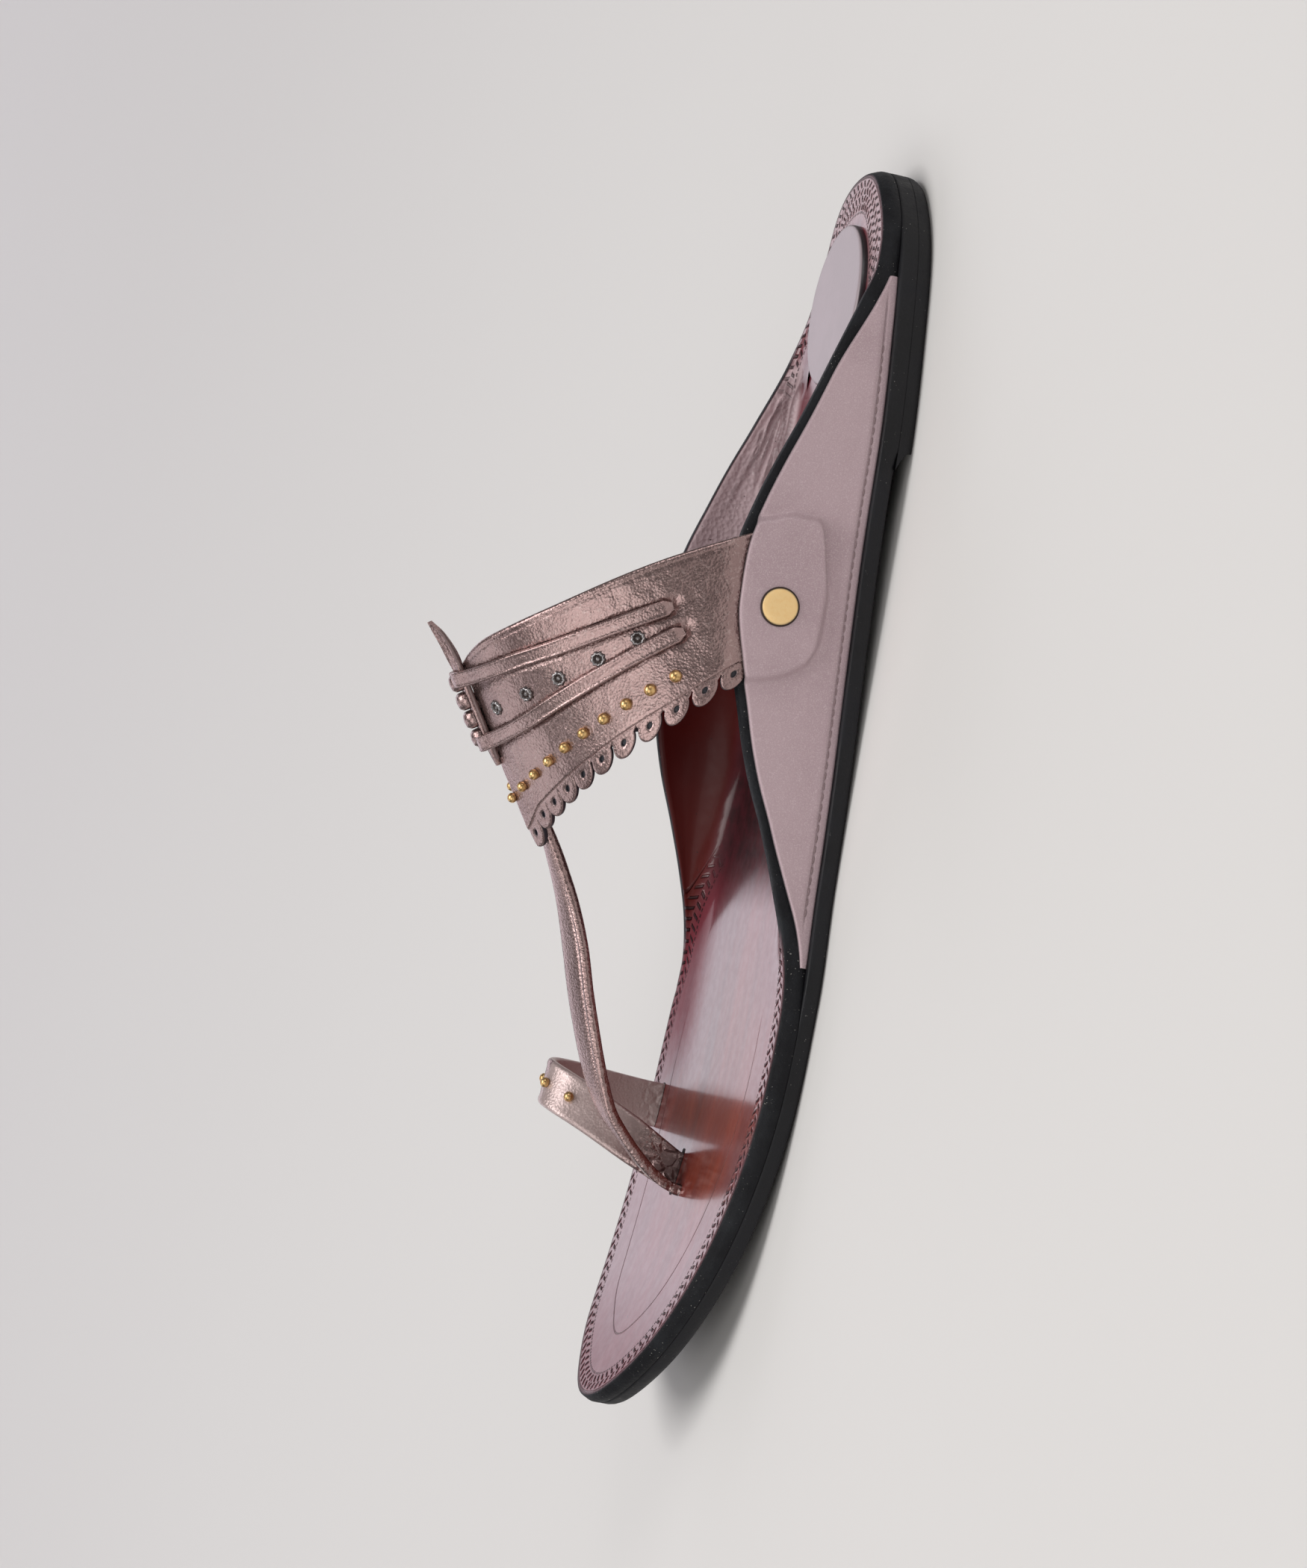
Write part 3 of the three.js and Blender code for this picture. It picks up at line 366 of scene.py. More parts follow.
# Sole profile and outline
def underside(x):
    x = np.asarray(x, float)
    spring = TOE_SPRING * (np.maximum(x - SPRING_X, 0) / (LENGTH - SPRING_X)) ** SPRING_POWER
    return np.where(x > SPRING_X, spring, SHANK_RISE * (1 - smoothstep(x, BREAST_X, BALL_FLAT_X)))


def insole_top(x):
    return underside(x) + STACK_THICK


def outsole_top(x):
    return underside(x) + OUTSOLE_THICK


def toe_angle(x):
    return np.arccos(np.clip(1 - 2 * np.asarray(x, float) / LENGTH, -1, 1))


HALF_WIDTH = table_curves(OUTLINE, (OUTER, INNER), toe_angle)
RISE = table_curves(WING_RISE, (OUTER, INNER))
TUCK_EDGE = table_curves(TUCK, ("rear", "front"))
COURSE = table_curves(THONG_COURSE, ("front", "rear"))


def half_width(side, angle):
    """Half width of the sole, carried on past both tips."""
    curve = HALF_WIDTH[side]
    before = -curve(-angle)
    after = 2 * curve(np.pi) - curve(2 * np.pi - angle)
    return np.where(angle < 0, before, np.where(angle > np.pi, after, curve(angle)))


def edge_at(side, angle):
    """Points of the sole's outline and the way inward, in plan."""
    step = 0.02

    def place(a):
        return np.stack([LENGTH * (1 - np.cos(a)) / 2, side * half_width(side, a)], axis=-1)

    tangent = unit(place(angle + step) - place(angle - step))
    inward = np.stack([side * tangent[..., 1], -side * tangent[..., 0]], axis=-1)
    return place(angle), inward


def even_edge(side, count, end=np.pi):
    """Outline points at even steps from the heel tip, the way inward, and the length up to each."""
    fine = np.linspace(0, end, 2000)
    run = run_along(edge_at(side, fine)[0])
    even = np.linspace(0, run[-1], count)
    return *edge_at(side, np.interp(even, run, fine)), even


def wall_inset(x):
    return WING_INSET * smoothstep(x, 8, 22) * (1 - smoothstep(x, 160, 174))


def wall_point(side, x, z, out):
    """Point outside the outer wall of a wing at a height; x, z and out may be arrays."""
    x, z, out = np.broadcast_arrays(*(np.asarray(value, float) for value in (x, z, out)))
    point, inward = edge_at(side, toe_angle(x))
    inset = wall_inset(x) + WING_LEAN * np.maximum(0, z - insole_top(x)) - out
    return np.concatenate([point + inward * inset[..., None], z[..., None]], axis=-1)


def around(outer, inner):
    """Joins rows that both run from the heel tip to the toe tip into one way around the sole."""
    return np.concatenate([outer, inner[1:-1][::-1]])


def cap(shape, ring, cells, flip, top_at=None, tag_at=None):
    """Strips across the sole that close a ring; top_at gives z from x."""
    outer = ring[1:SOLE_STEPS]
    inner = ring[SOLE_STEPS + 1 :][::-1]
    share = np.linspace(0, 1, cells + 1)[None, :, None]
    points = outer[:, None] * (1 - share) + inner[:, None] * share
    if top_at:
        points[..., 2] = top_at(points[..., 0])
    tags = tag_at(points[..., 0], points[..., 1]) if tag_at else {}
    shape.grid(points, flip=flip, **tags)
    ids = np.arange(cells)
    faces = np.stack([ids, ids + 1, np.full(cells, cells + 1)], axis=1)
    for end, tip in ((0, ring[0]), (-1, ring[SOLE_STEPS])):
        closing = {name: np.append(value[end], 0) for name, value in tags.items()}
        shape.add(np.vstack([points[end], tip]), faces, not flip, **closing)


# Band surface
EDGE_SAMPLES = 400


def band_edge(side, name):
    """Evenly spaced points up one edge of the band from the wing to the crest, and its length."""
    (crest_x, crest_z), bow = BAND_CRESTS[name]
    start = wall_point(side, *BAND_JOINTS[side][name], LAYER_GAP + BAND_THICK)
    end = np.array([crest_x, CREST_Y, crest_z])
    reach = end[0] - start[0]
    low = np.array([start[0] + reach * bow[0], start[1], start[2] + (end[2] - start[2]) * BAND_ARCH])
    high = np.array([start[0] + reach * bow[1], end[1] + (start[1] - end[1]) * BAND_ARCH, end[2]])
    t = np.linspace(0, 1, 1600)[:, None]
    points = (1 - t) ** 3 * start + 3 * (1 - t) ** 2 * t * low + 3 * (1 - t) * t**2 * high + t**3 * end
    return respaced(points, EDGE_SAMPLES)


EDGES = {(side, name): band_edge(side, name) for side in SIDES for name in ("rear", "front")}
FRONT_LENGTH = {side: EDGES[side, "front"][1] for side in SIDES}


def along_edge(side, name, along):
    at = np.clip(along, 0, 1) * (EDGE_SAMPLES - 1)
    return np.stack([np.interp(at, np.arange(EDGE_SAMPLES), c) for c in EDGES[side, name][0].T], axis=-1)


def band_point(across, place):
    """Outer face of the band: across is -1 at the inner wing, 0 on the crest and 1 at the outer wing."""
    across, place = np.broadcast_arrays(np.asarray(across, float), np.asarray(place, float))
    along = 1 - np.abs(across)
    found = np.zeros(across.shape + (3,))
    for side in SIDES:
        mine = (across >= 0) if side == OUTER else (across < 0)
        rear, front = (along_edge(side, name, along[mine]) for name in ("rear", "front"))
        found[mine] = rear + (front - rear) * place[mine][..., None]
    return found


def band_frame(across, place):
    """Point, way forward and way out of the band."""
    across, place = np.broadcast_arrays(np.asarray(across, float), np.asarray(place, float))
    step = 0.012
    high, low = np.minimum(1, across + step), np.maximum(-1, across - step)
    sideways = unit(band_point(high, place) - band_point(low, place))
    forward = unit(band_point(across, place + step) - band_point(across, place - step))
    return band_point(across, place), forward, unit(np.cross(forward, sideways))


# Materials
def hex_colour(code):
    """Linear colour of a six digit code."""
    parts = [int(code[i : i + 2], 16) / 255 for i in (0, 2, 4)]
    linear = [c / 12.92 if c <= 0.04045 else ((c + 0.055) / 1.055) ** 2.4 for c in parts]
    return (*linear, 1.0)


class Shader:
    """A node material, built with short calls. Colours are six digit codes."""

    def __init__(self, name, **sockets):
        self.material = bpy.data.materials.new(name)
        self.material.use_nodes = True
        self.tree = self.material.node_tree
        self.bsdf = self.tree.nodes["Principled BSDF"]
        self.paint(**sockets)
        self.place = self.node("ShaderNodeTexCoord", {}).outputs["Object"]
        self.bump = None

    def node(self, kind, inputs, **settings):
        made = self.tree.nodes.new(kind)
        for key, value in settings.items():
            setattr(made, key, value)
        for key, value in inputs.items():
            self.set(made.inputs[key], value)
        return made

    def set(self, socket, value):
        if isinstance(value, bpy.types.NodeSocket):
            self.tree.links.new(value, socket)
        else:
            socket.default_value = hex_colour(value) if isinstance(value, str) else value

    def paint(self, **sockets):
        for socket, value in sockets.items():
            self.set(self.bsdf.inputs[socket.replace("_", " ")], value)

    def tag(self, name):
        return self.node("ShaderNodeAttribute", {}, attribute_name=name).outputs["Fac"]

    def math(self, operation, a, b=0.0, clamp=False):
        return self.node("ShaderNodeMath", {0: a, 1: b}, operation=operation, use_clamp=clamp).outputs[0]

    def plus(self, a, b):
        return self.math("ADD", a, b)

    def minus(self, a, b, clamp=False):
        return self.math("SUBTRACT", a, b, clamp)

    def times(self, a, b):
        return self.math("MULTIPLY", a, b)

    def size(self, a):
        return self.math("ABSOLUTE", a)

    def most(self, first, *others):
        for other in others:
            first = self.math("MAXIMUM", first, other)
        return first

    def noise(self, scale, detail=3.0, rough=0.55, stretch=None):
        place = self.place
        if stretch:
            place = self.node("ShaderNodeMapping", {"Vector": place, "Scale": stretch}).outputs[0]
        inputs = {"Vector": place, "Scale": scale, "Detail": detail, "Roughness": rough}
        return self.node("ShaderNodeTexNoise", inputs).outputs["Fac"]

    def cells(self, scale, feature="F1"):
        inputs = {"Vector": self.place, "Scale": scale}
        return self.node("ShaderNodeTexVoronoi", inputs, feature=feature).outputs["Distance"]

    def span(self, value, from_low, from_high, to_low=0.0, to_high=1.0):
        """Smooth change from one value to another while the input passes through a range."""
        inputs = dict(enumerate((value, from_low, from_high, to_low, to_high)))
        return self.node("ShaderNodeMapRange", inputs, interpolation_type="SMOOTHSTEP").outputs[0]

    def blend(self, share, a, b):
        return self.node("ShaderNodeMix", {0: share, 6: a, 7: b}, data_type="RGBA").outputs[2]

    def raise_by(self, height, distance, strength=1.0):
        """Adds a bump layer; distance is its height in millimetres."""
        inputs = {"Height": height, "Distance": distance * MM, "Strength": strength}
        if self.bump:
            inputs["Normal"] = self.bump
        self.bump = self.node("ShaderNodeBump", inputs).outputs["Normal"]
        self.paint(Normal=self.bump, Coat_Normal=self.bump)


def black_edge(s, dark, light, dust_from):
    """Dyed black leather with a haze and a few pale specks of dust; returns its colour and haze."""
    haze = s.span(s.noise(70 if dust_from[0] > 0.7 else 90, 5.0, 0.65), 0.35, 0.75)
    dust = s.times(
        s.span(s.noise(2600, 1.0), dust_from[0], dust_from[0] + 0.08),
        s.span(s.noise(240), dust_from[1], dust_from[1] + 0.2),
    )
    return s.blend(dust, s.blend(haze, dark, light), "a5a39e"), haze


def sole_black():
    s = Shader("sole_black", Specular_IOR_Level=0.35)
    colour, haze = black_edge(s, "0e0e12", "1c1c21", (0.72, 0.5))
    s.paint(Base_Color=colour, Roughness=s.span(haze, 0, 1, 0.5, 0.72))
    s.raise_by(s.noise(900, 4.0, 0.7), 0.16, 0.5)
    s.raise_by(s.cells(1500), 0.08, 0.35)
    return s.material


def stamp_nodes(s):
    """Two to four rows of slanted pits between an outer line and an inner row of dashes."""
    run, lane, lanes = s.tag("run"), s.tag("lane"), s.tag("lanes")
    odd = s.math("MODULO", s.math("FLOOR", s.plus(lane, 8.0)), 2.0)
    across = s.math("FRACT", s.plus(lane, 8.0))
    slant = s.minus(BORDER_SLANT, s.times(odd, 2 * BORDER_SLANT))
    lean = s.times(slant, s.minus(across, 0.5))
    phase = s.plus(s.math("DIVIDE", run, BORDER_PITCH), s.plus(lean, s.times(odd, 0.5)))
    cut = s.span(s.size(s.minus(s.math("FRACT", phase), 0.5)), 0.08, 0.2, 1, 0)
    lens = s.span(s.math("SINE", s.times(across, np.pi)), 0.1, 0.45)
    within = s.times(s.span(lane, 0, 0.08), s.span(s.minus(lanes, lane), 0, 0.08))
    pits = s.times(s.times(cut, lens), within)
    inner = s.size(s.minus(s.minus(lane, lanes), 0.25))
    beat = s.math("SINE", s.times(run, 2 * np.pi / DASH_PITCH))
    dashes = s.times(s.span(inner, 0.06, 0.15, 0.9, 0), s.span(beat, -0.4, 0.2))
    outer = s.span(s.size(s.plus(lane, 0.22)), 0.04, 0.13, 0.6, 0)
    pattern = s.times(s.most(pits, dashes, outer), s.tag("stamp"))
    score = s.span(s.size(s.minus(lane, SCORE_LANE)), 0.03, 0.14, 0.45, 0)
    return s.most(pattern, s.times(score, s.tag("score")))


def insole_leather():
    s = Shader("insole_leather", Coat_Roughness=0.13, Coat_IOR=1.52, Specular_IOR_Level=0.2)
    streaks = s.noise(160, 5.0, 0.6, stretch=(0.12, 1, 1))
    broad = s.noise(28, 3.0)
    edge, satin, shank, burnish = (s.tag(name) for name in ("edge", "satin", "shank", "burnish"))
    pattern = stamp_nodes(s)
    wine = s.blend(s.span(streaks, 0.3, 0.7), "6a1f2a", "7f2b35")
    wine = s.blend(s.span(broad, 0.35, 0.65, 0, 0.6), wine, "6b2433")
    # Warm brown under the straps is painted shade, where the straps keep the sheen off the glossy leather
    colour = s.blend(burnish, wine, s.blend(s.span(streaks, 0.3, 0.75), "66200f", "8a3416"))
    # Pale mauve on the rear wing interiors and the heel border is a painted sheen, standing in for a
    # reflection of the lights
    colour = s.blend(satin, colour, s.blend(broad, "c4abb0", "d2babd"))
    # The dark tag paints shade on the front of the wing interiors, under the band
    colour = s.blend(s.tag("dark"), colour, s.blend(broad, "3c0a0b", "641610"))
    # Painted shade over the stretch between the wings
    colour = s.blend(s.times(shank, s.span(s.noise(260, 4.0), 0.3, 0.7, 0.55, 0.85)), colour, "241416")
    # Painted shade in the troughs of the wing creases
    colour = s.blend(s.times(s.tag("crease"), 0.7), colour, "4a2228")
    colour = s.blend(s.times(s.span(s.noise(1500, 1.0), 0.74, 0.8), 0.8), colour, "1d0c0b")
    colour = s.blend(s.times(pattern, 0.88), colour, "1c0e12")
    s.paint(Base_Color=s.blend(edge, colour, black_edge(s, "121216", "222428", (0.7, 0.45))[0]))
    dull = s.most(s.times(edge, 0.95), s.times(pattern, 0.9))
    for tag, share in (("satin", 0.8), ("dark", 0.93), ("shank", 0.96), ("veil", 0.85)):
        dull = s.most(dull, s.times(s.tag(tag), share))
    dull = s.most(dull, s.span(burnish, 0.5, 1.0, 0, 0.4))
    rough = s.plus(s.span(s.noise(420, 4.0), 0.3, 0.7, 0.34, 0.46), s.times(edge, 0.25))
    rough = s.plus(rough, s.times(s.most(shank, s.tag("veil")), 0.22))
    s.paint(Roughness=rough, Coat_Weight=s.minus(1.0, dull, True))
    s.raise_by(s.minus(1.0, pattern), 0.5)
    s.raise_by(s.noise(330, 5.0, 0.65, stretch=(0.6, 1, 1)), 0.05, 0.4)
    s.raise_by(s.noise(1300, 4.0, 0.7), 0.25, s.times(edge, 0.7))
    s.raise_by(s.cells(1100), 0.25, s.times(satin, 0.8))
    return s.material


def cover_leather():
    s = Shader("cover_leather", Metallic=0.2, Sheen_Weight=0.15, Sheen_Roughness=0.4, Specular_IOR_Level=0.5)
    fine = s.noise(4200, 2.0, 0.7)
    base = s.blend(s.span(s.noise(45, 4.0), 0.35, 0.65), "b29aa0", "bda5ab")
    base = s.blend(s.span(fine, 0.45, 0.75, 0, 0.7), base, "d8c6c9")
    s.paint(Base_Color=s.blend(s.tag("edge"), base, "4a3d40"), Roughness=s.span(fine, 0.3, 0.7, 0.42, 0.58))
    s.raise_by(s.cells(1900), 0.06, 0.3)
    s.raise_by(s.noise(700, 4.0, 0.65), 0.07, 0.3)
    return s.material


def strap_leather():
    s = Shader("strap_leather", Coat_Weight=0.15, Coat_Roughness=0.25, Specular_IOR_Level=0.5)
    grain = s.noise(1500, 4.0, 0.65)
    # The pale tag paints light on the toe ring: lighter and less metallic on the upper face of its near leg
    # and the inner face of its far leg
    edge, shade, pale = s.tag("edge"), s.tag("shade"), s.times(s.tag("pale"), 0.8)
    base = s.blend(s.span(s.noise(60, 5.0, 0.6), 0.3, 0.7), "987e7c", "a98f8c")
    base = s.blend(s.span(grain, 0.5, 0.75, 0, 0.6), base, "cdb7b4")
    colour = s.blend(shade, s.blend(pale, base, "dac8c5"), "4a3a39")
    dull = s.most(edge, shade, pale)
    s.paint(Base_Color=s.blend(edge, colour, "34343c"), Metallic=s.minus(0.9, s.times(dull, 0.75), True))
    s.paint(Roughness=s.plus(s.span(grain, 0.3, 0.7, 0.2, 0.3), s.times(dull, 0.25)))
    s.raise_by(s.cells(1900), 0.09, 0.6)
    s.raise_by(grain, 0.12, 0.5)
    s.raise_by(s.span(s.cells(420, "DISTANCE_TO_EDGE"), 0.0, 0.3), 0.5, s.tag("wrinkle"))
    return s.material


def pad_leather():
    s = Shader("pad_leather", Coat_Weight=0.25, Coat_Roughness=0.3, Specular_IOR_Level=0.5)
    cloud = s.noise(60, 4.0)
    base = s.blend(s.span(cloud, 0.35, 0.65), "a09196", "ad9ea4")
    s.paint(Base_Color=s.blend(s.tag("edge"), base, "231d22"), Roughness=s.span(cloud, 0.3, 0.7, 0.36, 0.46))
    s.raise_by(s.cells(1500), 0.05, 0.3)
    return s.material


def metal(name, light, dark, rough, wear=0.7, shine=0.95):
    s = Shader(name)
    mottle = s.noise(1200, 3.0)
    colour = s.blend(s.tag("dark"), s.blend(s.span(mottle, 0.4, 0.7, 0, wear), light, dark), "2a170d")
    s.paint(Base_Color=colour, Roughness=s.span(mottle, 0.3, 0.7, rough, rough + 0.08))
    s.paint(Metallic=s.minus(shine, s.times(s.tag("dark"), 0.8), True))
    s.raise_by(mottle, 0.03, 0.25)
    return s.material


def thread():
    s = Shader("cover_thread", Roughness=0.6)
    s.paint(Base_Color=s.blend(s.noise(4000), "7a6568", "a08b8d"))
    return s.material


SOLE = sole_black()
INSOLE = insole_leather()
COVER = cover_leather()
STRAP = strap_leather()
PAD = pad_leather()
GOLD = metal("gold_metal", "e2bd84", "996f3c", 0.28)
BRASS = metal("brass_metal", "ffdca0", "f8cd88", 0.5, 0.3, 0.5)
SILVER = metal("silver_metal", "a9a5a6", "5c595b", 0.2)
# Painted shadow plates where the straps go through the insole
SLIT_SHADOW = Shader("slit_shadow", Base_Color="1a0c0b", Roughness=0.8).material
THREAD = thread()


# Sole
def sole_layer():
    """Outsole with rounded corners; over the heel block its lower corner stays almost square."""
    thick = OUTSOLE_THICK + 0.2
    profile = [
        (0.9, 0.0), (0.2, 0.16), (-0.35, 0.55), (-0.65, 1.1), (SIDE_SWELL, 1.8), (SIDE_SWELL, thick - 0.7),
        (-0.78, thick - 0.2), (-0.64, thick), (0.6, thick),
    ]
    rings = []
    for inset, height in profile:
        parts = []
        for side in SIDES:
            point, inward, _ = even_edge(side, SOLE_STEPS + 1)
            free = smoothstep(point[:, :1], 56, 62)
            rounding = HEEL_ROUNDING + (1 - HEEL_ROUNDING) * free if height < 1.5 else 1
            plan = point + inward * (SIDE_SWELL + (inset - SIDE_SWELL) * rounding)
            parts.append(np.column_stack([plan, underside(plan[:, 0]) + height]))
        rings.append(around(*parts))
    points = np.stack(rings, axis=1)
    points[..., 1] += rng.normal(size=(len(rings), len(rings[0]))).T * ROUGH_CUT
    shape = Shape()
    shape.grid(points, wrap_columns=True)
    cap(shape, rings[0], 6, flip=True)
    cap(shape, rings[-1], 6, flip=False)
    shape.make("sole_layer", SOLE, ["outsole"])


def heel_lift():
    # z, x of the breast, inset of the side
    profile = [
        (0.0, BREAST_X - 3.4, 1.0), (0.25, BREAST_X - 3.3, 0.35), (0.7, BREAST_X - 3.2, 0.0),
        (1.2, BREAST_X - 2.9, -0.35), (1.8, BREAST_X - 2.4, -0.6), (2.5, BREAST_X - 1.2, -0.75),
        (LIFT_HEIGHT + 0.3, BREAST_X + 0.6, -0.78),
    ]
    side_steps, breast_steps = 220, 62
    rings = []
    for z, breast, inset in profile:
        parts = []
        for side in SIDES:
            point, inward, _ = even_edge(side, side_steps + 1, toe_angle(breast))
            parts.append(np.column_stack([point + inward * inset, np.full(side_steps + 1, z)]))
        share = np.linspace(0, 1, breast_steps)[1:-1, None]
        breast_line = parts[0][-1] * (1 - share) + parts[1][-1] * share
        rings.append(np.vstack([parts[0], breast_line, parts[1][1:][::-1]]))
    shape = Shape()
    shape.grid(np.stack(rings, axis=1), wrap_columns=True)
    shape.lid(rings[0], flip=True)
    shape.lid(rings[-1])
    shape.make("heel_block", SOLE, ["heel_lift"])


# Insole with its wings, stamped border and creases
def border_rows(x):
    """Number of plait rows: two around the toe, four around the heel."""
    return 2 + 2 * (1 - smoothstep(x, 16, 30))


def border_show(x):
    """The stamped border fades out along the waist."""
    return 1 - smoothstep(x, 38, 50) * (1 - smoothstep(x, 138, 154))


def border_lane(inset, x):
    """Place across the border, in rows from its outer one; along the waist it lies at the wing's foot."""
    start = 0.9 + BORDER_SHIFT * (smoothstep(x, 40, 66) - smoothstep(x, 128, 158))
    return (inset - start - 0.45) / BORDER_LANE


def stamped(run, lane, x):
    """Depth from 0 to 1 of the stamped rows at a run along the edge."""
    row = np.floor(lane)
    across = lane - row
    slant = np.where(row % 2 == 0, BORDER_SLANT, -BORDER_SLANT)
    phase = run / BORDER_PITCH + slant * (across - 0.5) + 0.5 * (row % 2)
    cut = np.clip(1 - np.abs(phase % 1 - 0.5) / 0.2, 0, 1)
    lens = np.clip(np.sin(np.pi * across), 0, 1) ** 0.6
    inside = (lane >= 0) & (lane < border_rows(x))
    return np.where(inside, smoothstep(cut * lens, 0.05, 0.8), 0) * border_show(x)


def strap_shade_at(x, y):
    """Warm brown patches under the straps: painted shade where the straps keep the glossy sheen off the
    insole.
    """
    total = np.zeros(np.shape(x))
    for level, cx, cy, rx, ry in ((1.0, 205, 12, 7, 20), (1.0, 193.5, 4, 7.5, 34), (0.6, 186, 8, 26, 22)):
        far = np.hypot((x - cx) / rx, (y - cy) / ry)
        total = np.maximum(total, level * (1 - smoothstep(far, 0.35, 1.7)))
    return total


def shank_at(x):
    """Dull, crackled stretch between the wings, darkened with painted shade."""
    return smoothstep(x, 50, 66) * (1 - smoothstep(x, 140, 153))


def veil_at(x, y):
    """Where the polish is worn: the inner edge behind the ball and the toe tip."""
    side = smoothstep(-y, 12, 30) * smoothstep(x, 140, 158) * (1 - smoothstep(x, 172, 200))
    return np.maximum(side, 0.45 * smoothstep(x, 224, 248))


def score_at(x):
    """The scored line inside the border shows on the forefoot alone."""
    return smoothstep(x, 168, 196)


def wing_creases(x, high, mask, weight):
    """Height of the creases on a wing, and the painted shade in their troughs."""
    height, crease = np.zeros_like(x), np.zeros_like(x)
    for x1, h1, x2, h2, deep in WING_CREASES:
        share = (x - x1) / (x2 - x1)
        sag = 0.35 * np.sin(share * 5 + x1) + 0.12 * np.sin(share * 17 + h2)
        off = high - h1 - (h2 - h1) * np.clip(share, 0, 1.2) - sag
        window = mask * smoothstep(share, -0.15, 0.15) * (1 - smoothstep(share, 0.8, 1.15))
        trough = bell(off, 0.3)
        height += weight * deep * window * (0.5 * bell(off - 0.6, 0.35) - trough)
        crease = np.maximum(crease, window * trough * min(1, deep * 2) * smoothstep(share, 0, 0.3))
    return height, crease


def insole_side(side):
    """One side, from underneath over the rim and down inside; insole_skin names its columns."""
    point, inward, run = even_edge(side, SOLE_STEPS + 1)
    rise = RISE[side](point[:, 0])
    base = wall_inset(point[:, 0])
    step_down = RIM_STEP * smoothstep(rise, 0.3, 2.5)
    rows = []

    def add(inset, lift, edge, reach):
        """lift is above the insole's top face, reach the way in from the outer wall."""
        plan = point + inward * inset[:, None]
        values = (insole_top(plan[:, 0]) + lift, edge, reach)
        rows.append(np.column_stack([plan] + [np.broadcast_to(value, len(base)) for value in values]))

    # Outer wall: inset, height above the underside
    wall = 0.7 + (INSOLE_THICK + rise - 0.7 - RIM_UP) * np.array([[0.25], [0.5], [0.75], [0.93]])
    for inset, height in [(0.14, -0.08), (0.0, 0.12), (0.0, 0.7)] + [(0.0, row) for row in wall]:
        bulge = 0.8 * (1 - smoothstep(height, 1.0, INSOLE_THICK)) * (1 - smoothstep(rise, 0.2, 3))
        lean = WING_LEAN * np.maximum(0, height - INSOLE_THICK)
        add(base + inset + lean - bulge, height - INSOLE_THICK, 1.0, 0.0)
    for q in np.linspace(0, 1, 9)[1:]:
        turn = np.pi / 2 * min(1.0, q * 1.9)
        reach = RIM_IN * (1 - np.cos(turn)) + (WING_THICK - RIM_IN) * max(0.0, (q - 0.3) / 0.7)
        lift = rise - RIM_UP * (1 - np.sin(turn)) - step_down * max(0.0, (q - 0.72) / 0.28) ** 2
        winged = step_down / RIM_STEP
        edge = winged * (1 - smoothstep(q, 0.85, 0.99)) + (1 - winged) * (1 - smoothstep(q, 0.3, 0.5))
        add(base + reach + WING_LEAN * rise, lift, edge, reach)
    for q in np.linspace(0, 1, 33)[1:]:
        steep = np.clip(rise / 6, 0, 1)
        turn = (1 - steep) * np.arccos(1 - q) + steep * q * np.pi / 2
        high = rise * (1 - np.sin(turn)) * (1 - 0.02 * (1 - q))
        reach = WING_THICK + WING_ROOT * (1 - np.cos(turn))
        add(base + WING_LEAN * high + reach, np.maximum(high - step_down * (1 - q) ** 6, 0), 0.0, reach)

    table = np.stack(rows, axis=1)
    x, z, edge = table[..., 0], table[..., 2], table[..., 3]
    wing = smoothstep(RISE[side](x), 0.5, 3.0) * (edge < 0.5)
    relief = wing_creases(x, z - insole_top(x), wing, 1.0 if side == INNER else 0.7)
    more = [np.broadcast_to(run[:, None], x.shape), wing, *relief]
    return np.concatenate([table, np.stack(more, axis=-1)], axis=-1)


